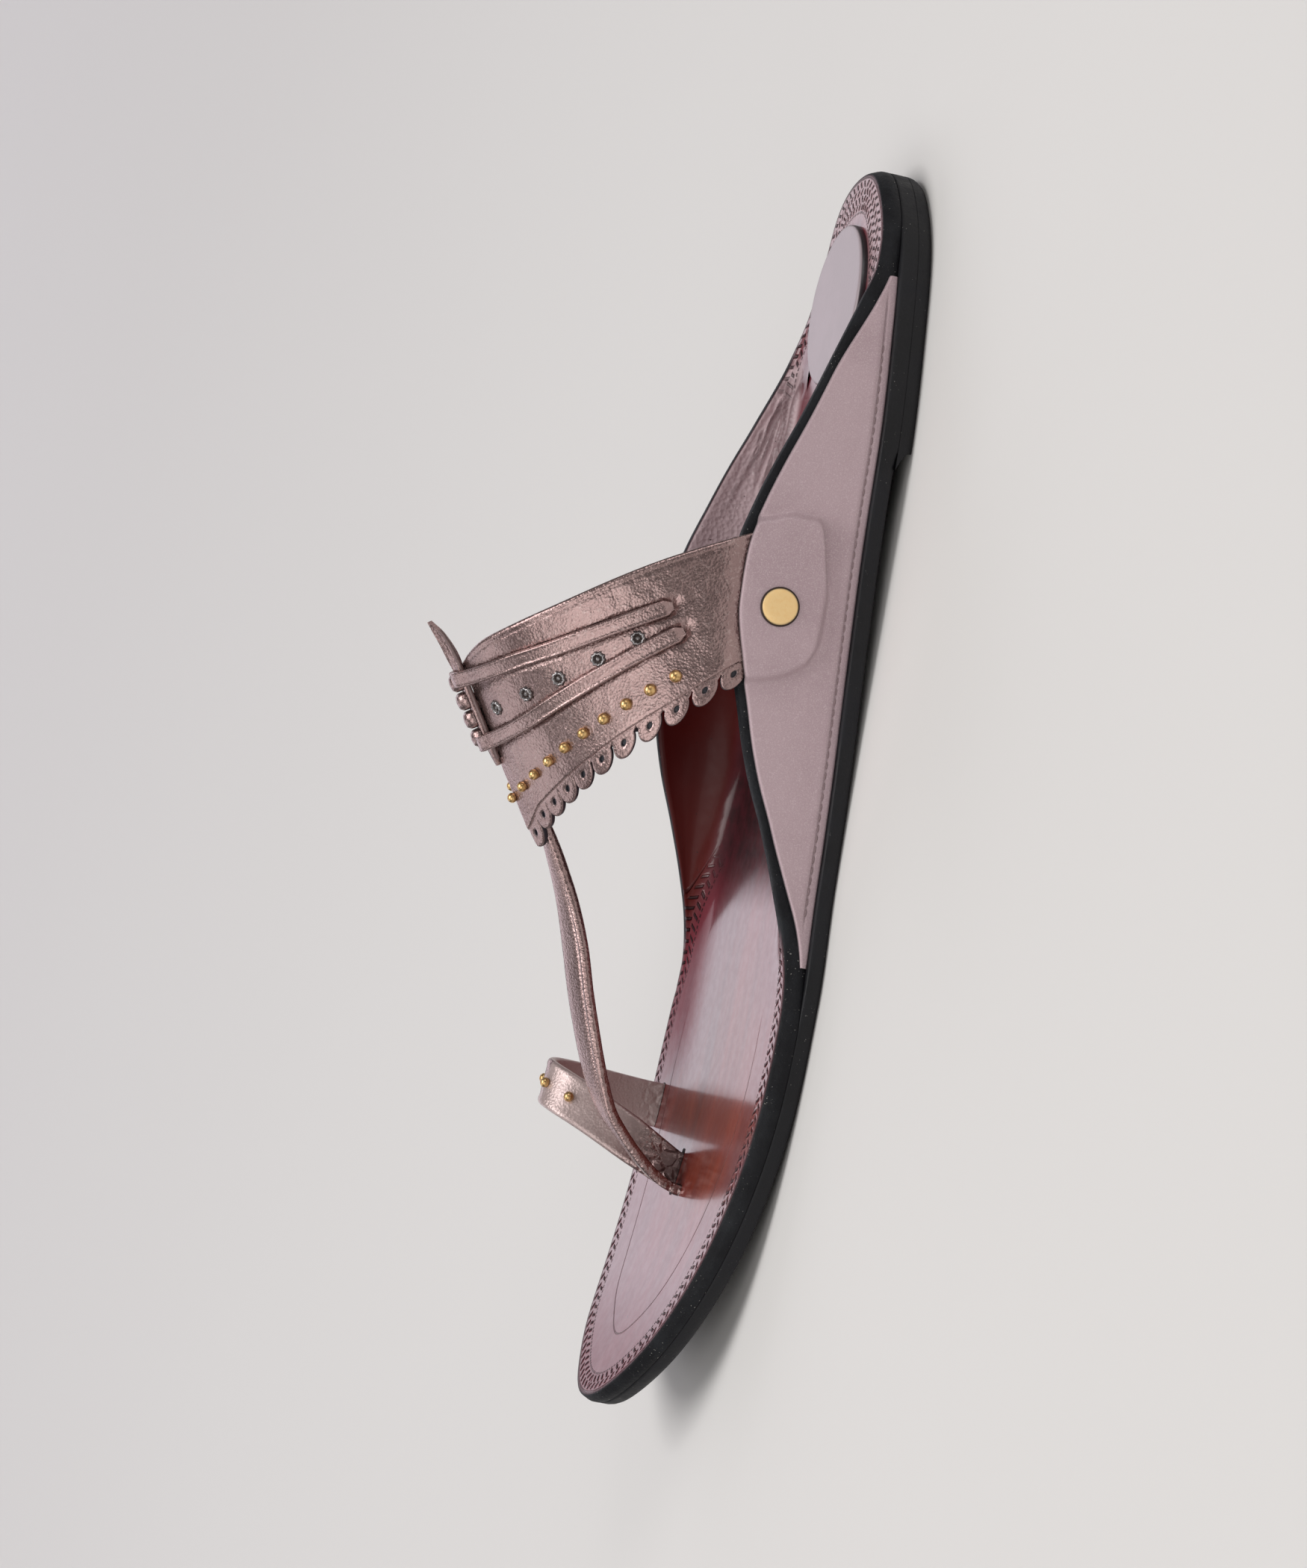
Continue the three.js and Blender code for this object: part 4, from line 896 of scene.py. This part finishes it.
def insole_skin():
    table = around(*(insole_side(side) for side in SIDES))
    points = table[..., :3]
    x, y, z, edge, inset, run, wing, height, crease = np.moveaxis(table, -1, 0)
    inside = edge < 0.5
    high = z - insole_top(x)
    lane, rows = border_lane(inset, x), border_rows(x)
    du = np.roll(points, -1, axis=0) - np.roll(points, 1, axis=0)
    normal = unit(np.cross(du, np.gradient(points, axis=1)))
    height = height + 0.03 * wave_noise(points, 9, 3) * wing - BORDER_DEPTH * stamped(run, lane, x)
    points = points + normal * (height * inside)[..., None]

    # Painted sheen over the rear of the wing interiors and, at half strength, the heel border
    satin = wing * (1 - smoothstep(x, 84, 96)) * smoothstep(high, 0.0, 0.5) * smoothstep(x, 34, 42)
    heel_border = (1 - smoothstep(x, 22, 40)) * smoothstep(lane, -0.6, -0.2) * inside
    satin = np.maximum(satin, 0.5 * heel_border * (1 - smoothstep(lane, rows, rows + 1.5)))
    # Painted shade on the front of the wing interiors, where the band keeps the light off
    wing_shade = smoothstep(high, 0.3, 3.5) * smoothstep(x, 84, 98)
    shape = Shape()
    shape.grid(
        points, wrap_columns=True, edge=edge, burnish=strap_shade_at(x, y) * (1 - wing_shade), satin=satin,
        dark=wing_shade * inside, run=run, lane=lane, lanes=rows, stamp=border_show(x) * (edge < 0.6),
        score=score_at(x), shank=shank_at(x) * (1 - smoothstep(high, 0.5, 3)) * inside,
        veil=veil_at(x, y) * inside, crease=crease,
    )
    outline = np.concatenate([even_edge(side, SOLE_STEPS + 1)[0][::4] for side in SIDES])

    def flat_tags(x, y):
        gap = np.hypot(x[..., None] - outline[:, 0], y[..., None] - outline[:, 1]).min(-1)
        return {
            "burnish": strap_shade_at(x, y), "lane": border_lane(gap, x), "lanes": border_rows(x),
            "score": score_at(x), "shank": shank_at(x), "veil": veil_at(x, y),
        }

    cap(shape, points[:, -1], 18, flip=False, top_at=insole_top, tag_at=flat_tags)
    cap(shape, points[:, 0], 4, flip=True)
    shape.make("insole_skin", INSOLE, ["insole"])


def slit_shadows():
    """Dark plates painted as the shadow where the straps go through the insole."""
    shape = Shape()
    cosine, sine = circle(40)[1].T
    for cx, cy, long, wide in SLITS:
        x = cx + long * np.sign(cosine) * np.abs(cosine) ** 0.4
        y = cy + wide * np.sign(sine) * np.abs(sine) ** 0.4
        ring = np.column_stack([x, y, insole_top(x) + 0.04])
        shape.lid(ring, centre=[cx, cy, insole_top(cx) + 0.05])
    shape.make("slit_shadow_plates", SLIT_SHADOW)


def heel_pad():
    sides, rings = 120, 14
    base = np.array([*PAD_CENTRE, insole_top(PAD_CENTRE[0]) + LAYER_GAP])
    crown = PAD_THICK + 0.03
    profile = [(1.0, -0.35), (1.004, 0.2), (1.0, 0.75), (0.985, 1.05), (0.96, PAD_THICK), (0.93, crown)]
    for q in np.arange(1, rings) / rings:
        profile.append((0.93 * (1 - q), crown + 0.14 * np.sin(np.pi / 2 * q)))
    plan = circle(sides)[1] * PAD_HALF
    lines = [base + np.column_stack([plan * share, np.full(sides, z)]) for share, z in profile]
    points = np.stack(lines, axis=1)
    shape = Shape()
    shape.grid(points, wrap_columns=True, edge=[float(z < 0.9 and share > 0.98) for share, z in profile])
    shape.lid(points[:, -1], centre=base + (0, 0, crown + 0.14))
    shape.make("heel_sock", PAD, ["heel_pad"])


# Covers
def pocket(side, x, z):
    """How far the cover stands out over the tucked band end."""
    along = x - TUCK_SHIFT[side]
    gap = np.stack([TUCK_EDGE["rear"](z) - along, along - TUCK_EDGE["front"](z), TUCK[0][0] - z])
    outside = np.log(np.exp(gap * 1.4).sum(0)) / 1.4
    return (BAND_THICK + LAYER_GAP + 0.15) * (1 - smoothstep(outside, -0.8, 1.0))


def wing_cover(side):
    x = np.linspace(COVER_REAR_X, COVER_FRONT_X, 330)[:, None]
    low = outsole_top(x) + SEAM_FOOT
    taper = 1.5 * smoothstep(x, 136, 158) + 1.5 * (1 - smoothstep(x, 24, 44))
    high = np.maximum(low + 0.12, insole_top(x) + RISE[side](x) - COVER_DROP - taper)
    tall = high - low
    # Rows keep fixed heights near the seam and share out the rest
    offsets = np.concatenate([np.arange(0, 3.4, 0.22), np.linspace(3.6, 30, 52)])
    fixed = np.clip((tall - 3) / 6, 0, 1) * (1 - smoothstep(offsets, 2.5, 6))
    shared = offsets / offsets[-1] * tall
    rows = np.sort(np.minimum(offsets, tall) * fixed + shared * (1 - fixed), axis=1)
    z = low + rows
    x = np.broadcast_to(x, z.shape)
    seam = bell(z - low - SEAM_UP, 0.2) * smoothstep(tall, 2.6, 4.5)
    puff = 0.12 * bell(z - low - SEAM_UP - 1.0, 0.7) * smoothstep(tall, 3, 6)
    near_top = np.clip((z - high + 0.5) / 0.5, 0, 1)
    near_low = np.clip((low + 0.35 - z) / 0.35, 0, 1)
    sag = 0.12 * wave_noise(np.stack([x, z, 0 * x], axis=-1), 26, 5 + side, 2) * np.clip(rows / 4, 0, 1)
    out = LAYER_GAP + pocket(side, x, z) + COVER_THICK + puff + sag - 0.22 * seam
    out = out - 0.3 * near_top**2 - 0.25 * near_low**2 - 0.8 * (1 - smoothstep(tall, 0.1, 1.6))
    outer = wall_point(side, x, z, out)
    inner = wall_point(side, x, z, LAYER_GAP + 0.05 + pocket(side, x, z) * 0.9)
    points = np.concatenate([outer, inner[:, ::-1]], axis=1)
    edge = np.maximum(near_top**3 * 0.3, seam * 0.25)
    edge = np.concatenate([edge, np.full_like(edge, 0.8)], axis=1)
    shape = Shape()
    shape.grid(points, wrap_rows=True, flip=side == OUTER, edge=edge)
    shape.close_end(points[0], flip=side == OUTER, edge=0.8)
    shape.close_end(points[-1], flip=side == INNER, edge=0.8)
    shape.make(f"cover_{SIDES[side]}", COVER, [f"wing_cover_{SIDES[side]}"])


def capsule(shape, start, end, radius, up):
    """A short rounded thread from start to end."""
    way = unit(end - start)
    side_way = unit(np.cross(way, up))
    top_way = np.cross(side_way, way)
    flat = circle(6)[1]
    section = flat[:, :1] * side_way + flat[:, 1:] * top_way * 0.8
    rings = []
    for share, size in ((0, 0.35), (0.12, 0.85), (0.35, 1), (0.65, 1), (0.88, 0.85), (1, 0.35)):
        centre = start + (end - start) * share + top_way * radius * 0.5 * np.sin(np.pi * share)
        rings.append(centre + radius * size * section)
    shape.grid(np.stack(rings), wrap_rows=True)


def cover_stitches(side):
    shape = Shape()
    for x in np.arange(36, 150, STITCH_PITCH):
        ends = np.array([x, x + STITCH_PITCH * 0.72])
        low = outsole_top(ends) + SEAM_FOOT + SEAM_UP
        tall = insole_top(ends) + RISE[side](ends) - COVER_DROP - low
        if tall.min() >= 2.2:
            a, b = wall_point(side, ends, low, LAYER_GAP + COVER_THICK - 0.12)
            _, inward = edge_at(side, toe_angle(x))
            capsule(shape, a, b, STITCH_RADIUS, np.array([-inward[0], -inward[1], 0.0]))
    shape.make(f"cover_stitches_{SIDES[side]}", THREAD)


# Lathed small metal pieces
def lathe(shape, profile, point, up, sides, petal_size=0.0):
    """Turns a profile of radius, height, darkness rows around up at a point."""
    up = unit(up)
    side_way = unit(np.cross(up, [0.31, 0.17, 0.93]))
    turn, flat = circle(sides)
    flat = flat[:, :1] * side_way + flat[:, 1:] * np.cross(up, side_way)
    rings = []
    for k, (radius, height, _) in enumerate(profile):
        wave = 1 + petal_size * np.cos(ROSETTE_PETALS * turn) * (k > 0)
        rings.append(point + flat * (max(radius, TIP_RADIUS) * wave)[:, None] + up * height)
    shape.grid(np.stack(rings, axis=1), wrap_columns=True, dark=[row[2] for row in profile])


def stud(shape, radius, point, up):
    foot = [(0.25, -0.2), (0.8, -0.2), (0.95, 0.1)]
    dome = [(np.cos(a), 0.35 + 0.95 * np.sin(a)) for a in np.linspace(0, np.pi / 2 - 0.06, 9)]
    rows = [(r * radius, h * radius, 0) for r, h in foot + dome + [(0, 1.3)]]
    lathe(shape, rows, point, up, 20)


def band_studs():
    shape = Shape()
    for k in range(-STUD_PER_SIDE, STUD_PER_SIDE + 1):
        point, _, up = band_frame(k * STUD_PITCH, STUD_PLACE)
        stud(shape, STUD_RADIUS + STUD_GROWTH * abs(k), point + up * 0.12, up)
    names = [f"stud_{i}" for i in range(1, 2 * STUD_PER_SIDE + 2)]
    shape.make("gold_beads", GOLD, names)


def rosettes():
    shape = Shape()
    for side in SIDES:
        for across, place in ROSETTES:
            point, _, up = band_frame(side * across, place)
            lathe(shape, ROSETTE_PROFILE, point + up * 0.05, up, 32, petal_size=0.1)
    names = [f"rosette_{SIDES[side]}_{i}" for side in SIDES for i in range(1, len(ROSETTES) + 1)]
    shape.make("silver_rosettes", SILVER, names)


def rivets():
    profile = [(RIVET_RADIUS * share, height, dark) for share, height, dark in RIVET_PROFILE]
    for side in SIDES:
        shape = Shape()
        x, z = RIVET_PLACE[0] + TUCK_SHIFT[side], RIVET_PLACE[1]
        face = wall_point(side, x, z, LAYER_GAP + COVER_THICK + BAND_THICK + LAYER_GAP + 0.25)
        _, inward = edge_at(side, toe_angle(x))
        lathe(shape, profile, face, np.array([-inward[0], -inward[1], WING_LEAN]), 72)
        shape.make(f"gold_disc_{SIDES[side]}", BRASS, [f"rivet_{SIDES[side]}"])


# Band
def trim_root(across):
    """Way from the band's front edge to the middle of the scallops, longer at the crest."""
    root = TRIM_ROOT + (TRIM_ROOT_END - TRIM_ROOT) * smoothstep(np.abs(across), 0.75, 1)
    near = 1 - smoothstep(np.abs(across) * FRONT_LENGTH[OUTER], 0, 9)
    return root + 0.55 * CREST_REACH * near


def band_skin(shape):
    across = np.linspace(-1, 1, 361)
    places = np.concatenate([np.linspace(0, 0.06, 7), np.linspace(0.08, 0.97, 52), [0.985, 1.0]])
    a, p = np.meshgrid(across, places, indexing="ij")
    far = np.abs(a)
    width_here = np.linalg.norm(band_point(a, 1.0) - band_point(a, 0.0), axis=-1)
    q = p * (1 + (trim_root(a) + 0.5 - LOBE_BACK) / width_here)
    # The rear edge is drawn in towards the crest
    fit = (1 - smoothstep(far, 0.4, 0.8)) * (1 - p) ** 2 * (0.12 - 0.09 * smoothstep(a, -0.1, 0.2))
    point, _, up = band_frame(a, q + fit)
    lengths = np.where(a >= 0, FRONT_LENGTH[OUTER], FRONT_LENGTH[INNER])
    height = np.zeros_like(a)
    for name, course in COURSE.items():
        reach = THONG_REACH[name]
        off = (q - course(far)) * width_here
        height -= 0.3 * np.exp(-((off / 1.9) ** 6)) * (1 - smoothstep(far, reach - 0.005, reach + 0.03))
        end = np.hypot(off / 1.6, (far - reach) * lengths / 1.8)
        height -= 0.35 * bell(end, 1)
        height += 0.05 * bell(end - 1.5, 0.4) * smoothstep(far, reach - 0.02, reach + 0.02)
    rear_gap = p * width_here
    wrinkles = 0.12 * wave_noise(point, 14, 11) + 0.06 * wave_noise(point, 4, 12, 2)
    height += wrinkles * (1 - smoothstep(p, 0.92, 1.0)) - 0.14 * bell(rear_gap - 1.3, 0.25)
    height += 0.45 * smoothstep(far, 0.8, 0.94) * (1 - smoothstep(far, 0.94, 1.0))
    height -= 0.12 * smoothstep(p, 0.985, 1.0) + 0.35 * (1 - smoothstep(rear_gap, 0, 0.6)) ** 2
    outer = point + up * height[..., None]
    inner = point - up * BAND_THICK
    lining = np.concatenate([0 * places, (places < 0.995)[::-1]])
    shape.grid(np.concatenate([outer, inner[:, ::-1]], axis=1), wrap_rows=True, shade=lining)
    # Tucked ends: plain tongues that run down behind the covers
    for side in SIDES:
        down = np.linspace(0, 1, 8)[:, None]
        (rear_x, rear_z), (front_x, front_z) = (BAND_JOINTS[side][name] for name in ("rear", "front"))
        x = (rear_x + (front_x - rear_x) * places) * (1 - down) + (TUCK_SHIFT[side] + 78 + 24 * places) * down
        z = (rear_z + (front_z - rear_z) * places) * (1 - down) + 15.0 * down
        face_out = wall_point(side, x, z, LAYER_GAP + BAND_THICK)
        face_in = wall_point(side, x, z, LAYER_GAP)
        first = -1 if side == OUTER else 0
        face_out[0], face_in[0] = outer[first], inner[first]
        tongue = np.concatenate([face_out, face_in[:, ::-1]], axis=1)
        shape.grid(tongue, wrap_rows=True, flip=side == INNER)
        shape.close_end(tongue[-1], flip=side == OUTER)


# Layers of a scallop: share of the way from its hole to its rim, height, edge
LOBE_LAYERS = [
    (0.0, -0.55, 1), (0.0, -0.3, 1), (0.04, -0.1, 0.7), (0.12, 0.0, 0), (0.3, 0.03, 0), (0.5, 0.04, 0),
    (0.7, 0.03, 0), (0.84, 0.0, 0), (0.94, -0.06, 0.1), (0.985, -0.2, 0.7), (1.0, -0.4, 1), (1.0, -0.95, 1),
    (0.96, -1.12, 1), (0.5, -1.12, 1), (0.0, -1.12, 1),
]


def lobe(shape, side, centre, half):
    """One holed scallop: round in front, square where it leaves the band's front edge."""
    length = FRONT_LENGTH[side]
    centre_way = float(trim_root(centre)) + 0.5
    cosine, sine = circle(64)[1].T
    box_side = half * 1.16 / np.maximum(np.abs(cosine), 1e-6)
    box_back = (LOBE_BACK + 0.45) / np.maximum(-sine, 1e-6)
    reach = np.where(sine > -0.32, half * 1.02, np.minimum(box_side, box_back))
    front = smoothstep(sine, -0.45, -0.3)
    past_end = unit(band_point(side * 1.0, 1.0) - band_point(side * 0.98, 1.0)) * side
    rows, edges = [], []
    for share, height, edge in LOBE_LAYERS:
        radius = LOBE_HOLE + (reach - LOBE_HOLE) * share
        across, way = centre + radius * cosine / length, centre_way + radius * sine
        lift = height
        if share > 0.9 and height > -0.5:
            lift = height * front - 0.02 * (1 - front)
        point, forward, up = band_frame(np.clip(across, -1, 1), 1.0)
        over = np.clip(np.abs(across) - 1, 0, 1) * length * np.sign(across)
        lift = lift - 0.12 - 0.02 * np.maximum(way, 0) ** 1.5
        rows.append(point + forward * way[:, None] + past_end * over[:, None] + up * lift[:, None])
        edges.append(edge * (front if share >= 0.9 else np.ones(len(front))))
    points = np.stack(rows, axis=1)
    shape.grid(points, wrap_columns=True, flip=side == INNER, edge=np.stack(edges, axis=1))
    shape.lid(points[:, 0], flip=side == OUTER, edge=1.0)
    shape.lid(points[:, -1], flip=side == INNER, edge=1.0)


def band():
    shape = Shape()
    band_skin(shape)
    for side, count in TRIM_COUNT.items():
        half = TRIM_END * FRONT_LENGTH[side] / count / 2
        centres = OUTER_CENTRES if side == OUTER else np.arange(count) + 0.5
        for centre in centres:
            lobe(shape, side, side * TRIM_END * centre / count, half)
    shape.make("band_leather", STRAP, ["instep_band"])


# Swept straps
def sweep(shape, points, across, up, width, thick, section, **tags):
    """Section rows are share of half width, share of half thickness; the ends are closed."""
    width, thick = (np.broadcast_to(size, len(points))[:, None, None] / 2 for size in (width, thick))
    section = np.asarray(section, float)[None]
    rings = points[:, None] + across[:, None] * (section[..., :1] * width)
    rings = rings + up[:, None] * (section[..., 1:] * thick)
    shape.grid(rings, wrap_rows=True, flip=True, **tags)
    for end in (0, -1):
        closing = {}
        for name, value in tags.items():
            row = np.broadcast_to(value, rings.shape[:2])[end]
            closing[name] = np.append(row, 0 if np.ndim(value) else value)
        shape.lid(rings[end], flip=end == 0, **closing)


def rounded_section(bead, steps=6):
    """Flat strap with round sides and a raised bead along both edges of its top."""
    turn = np.linspace(-np.pi / 2, np.pi / 2, steps * 2 + 1)
    right = [(0.82 + 0.18 * np.cos(t), np.sin(t)) for t in turn]
    half_top = [(0.76, 1 + bead), (0.66, 1 - bead), (0.35, 1)]
    top = half_top + [(0, 1)] + [(-a, b) for a, b in half_top[::-1]]
    return right + top + [(-a, -b) for a, b in right] + [(-0.4, -1), (0, -1), (0.4, -1)]


def rolled(across, up, degrees):
    """The two ways across and out, turned about the strap's run."""
    roll = np.radians(degrees)[:, None]
    return across * np.cos(roll) - up * np.sin(roll), up * np.cos(roll) + across * np.sin(roll)


def thong(side, name):
    """Narrow raised strip from the crest down to its pointed end on the band."""
    t = np.linspace(0, 1, 110)
    start = -0.02 if side == OUTER else 0.03
    across_at = start + (THONG_REACH[name] - start) * t
    point, _, up = band_frame(side * across_at, COURSE[name](np.abs(across_at)))
    across = unit(np.cross(unit(np.gradient(point, axis=0)), up))
    over_spine = 1.25 * bell(across_at - 0.012, 0.045)
    lift = THONG_GAP + THONG_THICK / 2 + over_spine - 0.75 * smoothstep(t, 0.965, 1.0)
    width = THONG_WIDTH * (1 - 0.45 * smoothstep(t, 0.97, 1.0)) * (1 + 0.015 * np.sin(t * 23))
    shape = Shape()
    sweep(shape, point + up * lift[:, None], across, up, width, THONG_THICK * 0.95, rounded_section(0.09))
    shape.make(f"lace_{name}_{SIDES[side]}", STRAP, [f"thong_{name}_{SIDES[side]}"])


def spine():
    rows = np.array(SPINE, float)
    t = np.linspace(0, len(rows) - 1, 90)
    along, lift, width, thick = (table_curve(np.arange(len(rows)), column)(t) for column in rows.T)
    point, forward, _ = band_frame(np.zeros_like(t), along)
    across = np.broadcast_to([0.0, 1.0, 0.0], point.shape)
    up = unit(np.cross(forward, across))
    point = point + up * (LAYER_GAP + lift + thick / 2 - 0.15)[:, None]
    shape = Shape()
    tongue = width - 0.8 * smoothstep(t, 3.2, 5.0)
    faces = rolled(across, up, 36 * smoothstep(t, 3.0, 4.2))
    sweep(shape, point, *faces, tongue, thick, rounded_section(0.1))
    # Fine cords along both sides of the fold
    round_section = circle(8)[1]
    keep = (t > 0.4) & (t < len(rows) - 1.6)
    for way in (1, -1):
        line = point + across * (way * (width / 2 + 0.22))[:, None] - up * 0.25
        sweep(shape, line[keep], across[keep], up[keep], CORD_SIZE, CORD_SIZE, round_section, shade=0.6)
    # Coils on the far side of the fold
    turn = np.linspace(-0.35 * np.pi, 0.95 * np.pi, 26)[:, None]
    for place in COIL_PLACES:
        base, forward, _ = band_frame(0.0, place)
        out = unit(np.cross(forward, [0.0, 1.0, 0.0]))
        centre = base + out * 1.2 + np.array([0.0, -1.7, 0.0])
        arm = np.cos(turn) * [0.0, -COIL_RADIUS, 0.0] + np.sin(turn) * out * (COIL_RADIUS - 0.05)
        way = np.broadcast_to(forward, arm.shape)
        sweep(shape, centre + arm, way, unit(arm), COIL_WIDTH, COIL_THICK, round_section)
    shape.make("crest_fold", STRAP, ["band_spine"])


def toe_strap():
    rows = spline(TOE_STRAP, 200)
    point, width, thick = rows[:, :3], rows[:, 3], rows[:, 4]
    across = np.broadcast_to([0.0, 1.0, 0.0], point.shape)
    up = unit(np.cross(unit(np.gradient(point, axis=0)), across))
    roll = 14 * smoothstep(point[:, 0], 137, 150) * (1 - smoothstep(point[:, 0], 191, 204))
    low = 1 - smoothstep(point[:, 2:], 9, 20)
    shape = Shape()
    sweep(shape, point, *rolled(across, up, roll), width, thick, STRAP_SECTION, wrinkle=0.8 * low)
    shape.make("centre_strap", STRAP, ["toe_strap"])


def ring_frame(count):
    """Points of the toe ring with the ways across and out, and each one's place in the table."""
    rows = spline(TOE_RING, count)
    point, lean, place = rows[:, :3], np.radians(rows[:, 3]), rows[:, 4]
    way = unit(np.gradient(point, axis=0))
    across = np.column_stack([np.cos(lean), np.zeros(count), np.sin(lean)])
    across = unit(across - way * (across * way).sum(1, keepdims=True))
    return point, across, unit(np.cross(way, across)), place


def toe_ring():
    point, across, up, _ = ring_frame(220)
    section = np.array(rounded_section(0.06))
    y, z = point[:, 1:2], point[:, 2:]
    near, lining = y > RING_MID_Y, section[:, 1] <= 0
    near_low = (1 - smoothstep(z, 9, 21)) * near
    far_low = (1 - smoothstep(z, 6, 16)) * ~near
    # Painted light: the upper face of the near leg and the inner face of the far leg are painted paler
    pale = 0.6 * smoothstep(z, 13, 24) * near * ~lining + ~near * lining
    shape = Shape()
    sweep(
        shape, point, across, up, RING_WIDTH * (1 - 0.12 * near_low[:, 0]), RING_THICK, section,
        shade=0.45 * near_low**2, wrinkle=near_low + 0.5 * far_low, pale=pale,
    )
    shape.make("ring_leather", STRAP, ["toe_ring"])


def ring_studs():
    point, _, up, place = ring_frame(400)
    shape = Shape()
    for t in RING_STUDS:
        i = int(np.argmin(np.abs(place - t)))
        stud(shape, STUD_RADIUS, point[i] + up[i] * (RING_THICK / 2 + 0.12), up[i])
    shape.make("ring_beads", GOLD, [f"ring_stud_{i}" for i in (1, 2, 3)])


# Floor, lights and camera, in metres
FLOOR_HALF = 4.0


def floor():
    mesh = bpy.data.meshes.new("floor")
    corners = [(-1, -1), (1, -1), (1, 1), (-1, 1)]
    mesh.from_pydata([(x * FLOOR_HALF, y * FLOOR_HALF, 0) for x, y in corners], [], [(0, 1, 2, 3)])
    s = Shader("floor_pale", Roughness=0.7, Specular_IOR_Level=0.2)
    s.paint(Base_Color=s.blend(s.noise(1.5, 2.0), "e0dddb", "e4e2e0"))
    mesh.materials.append(s.material)
    plane = link(bpy.data.objects.new("floor", mesh))


# Soft panels: place, target, size, watts, colour
PANELS = {
    "back_panel": ((0.05, -1.5, 0.62), (0.03, 0, 0.02), (2.2, 0.8), 6.3, (0.97, 0.94, 1.03)),
    "key_panel": ((1.05, 1.5, 1.13), (0, 0, 0.03), (2.0, 1.2), 13.4, (1.0, 0.985, 0.965)),
    "top_panel": ((0.0, 0.25, 1.8), (0, 0, 0.03), (1.4, 1.0), 20, (1.0, 0.99, 0.98)),
    "toe_panel": ((1.03, -0.59, 1.07), (0.03, 0, 0.05), (0.8, 0.8), 2.4, (0.96, 0.97, 1.0)),
    "heel_panel": ((-1.35, 0.95, 0.6), (-0.05, 0, 0.03), (1.0, 0.8), 5, (1.0, 0.98, 0.97)),
}
WORLD_COLOUR, WORLD_STRENGTH = "e0dfde", 0.16


def lights():
    for name, (place, target, size, power, colour) in PANELS.items():
        data = bpy.data.lights.new(name, "AREA")
        data.shape = "RECTANGLE"
        data.size, data.size_y = size
        data.energy = power
        data.color = colour
        lamp = link(bpy.data.objects.new(name, data))
        lamp.location = place
        lamp.rotation_mode = "QUATERNION"
        lamp.rotation_quaternion = (Vector(target) - Vector(place)).to_track_quat("-Z", "Y")
    world = bpy.data.worlds.new("studio")
    world.use_nodes = True
    background = world.node_tree.nodes["Background"]
    background.inputs["Color"].default_value = hex_colour(WORLD_COLOUR)
    background.inputs["Strength"].default_value = WORLD_STRENGTH
    bpy.context.scene.world = world


# Camera: the photo's own place and turn to the shoe, rolled so that the toe points down
CAMERA_PLACE = Vector((0.03863, 1.46143, 0.41480))
CAMERA_RIGHT = (-0.187979, 0.257845, -0.947723)
CAMERA_UP = (-0.981841, -0.024233, 0.188153)
CAMERA_BACK = (0.025548, 0.965882, 0.257717)
CAMERA_LENS, CAMERA_SENSOR = 172, 36
CAMERA_SLIDE = (-0.006, -0.002)


def camera():
    data = bpy.data.cameras.new("photo_view")
    data.lens = CAMERA_LENS
    data.sensor_width = CAMERA_SENSOR
    view = link(bpy.data.objects.new("photo_view", data))
    turn = Matrix((CAMERA_RIGHT, CAMERA_UP, CAMERA_BACK)).transposed()
    slide = Vector(CAMERA_RIGHT) * CAMERA_SLIDE[0] + Vector(CAMERA_UP) * CAMERA_SLIDE[1]
    view.matrix_world = Matrix.Translation(CAMERA_PLACE + slide) @ turn.to_4x4()
    bpy.context.scene.camera = view


sole_layer()
heel_lift()
insole_skin()
heel_pad()
for wing in SIDES:
    wing_cover(wing)
    cover_stitches(wing)
slit_shadows()
band()
band_studs()
rosettes()
rivets()
for wing in SIDES:
    for strip in ("front", "rear"):
        thong(wing, strip)
spine()
toe_strap()
toe_ring()
ring_studs()
floor()
lights()
camera()
bpy.context.scene.view_settings.view_transform = "Standard"
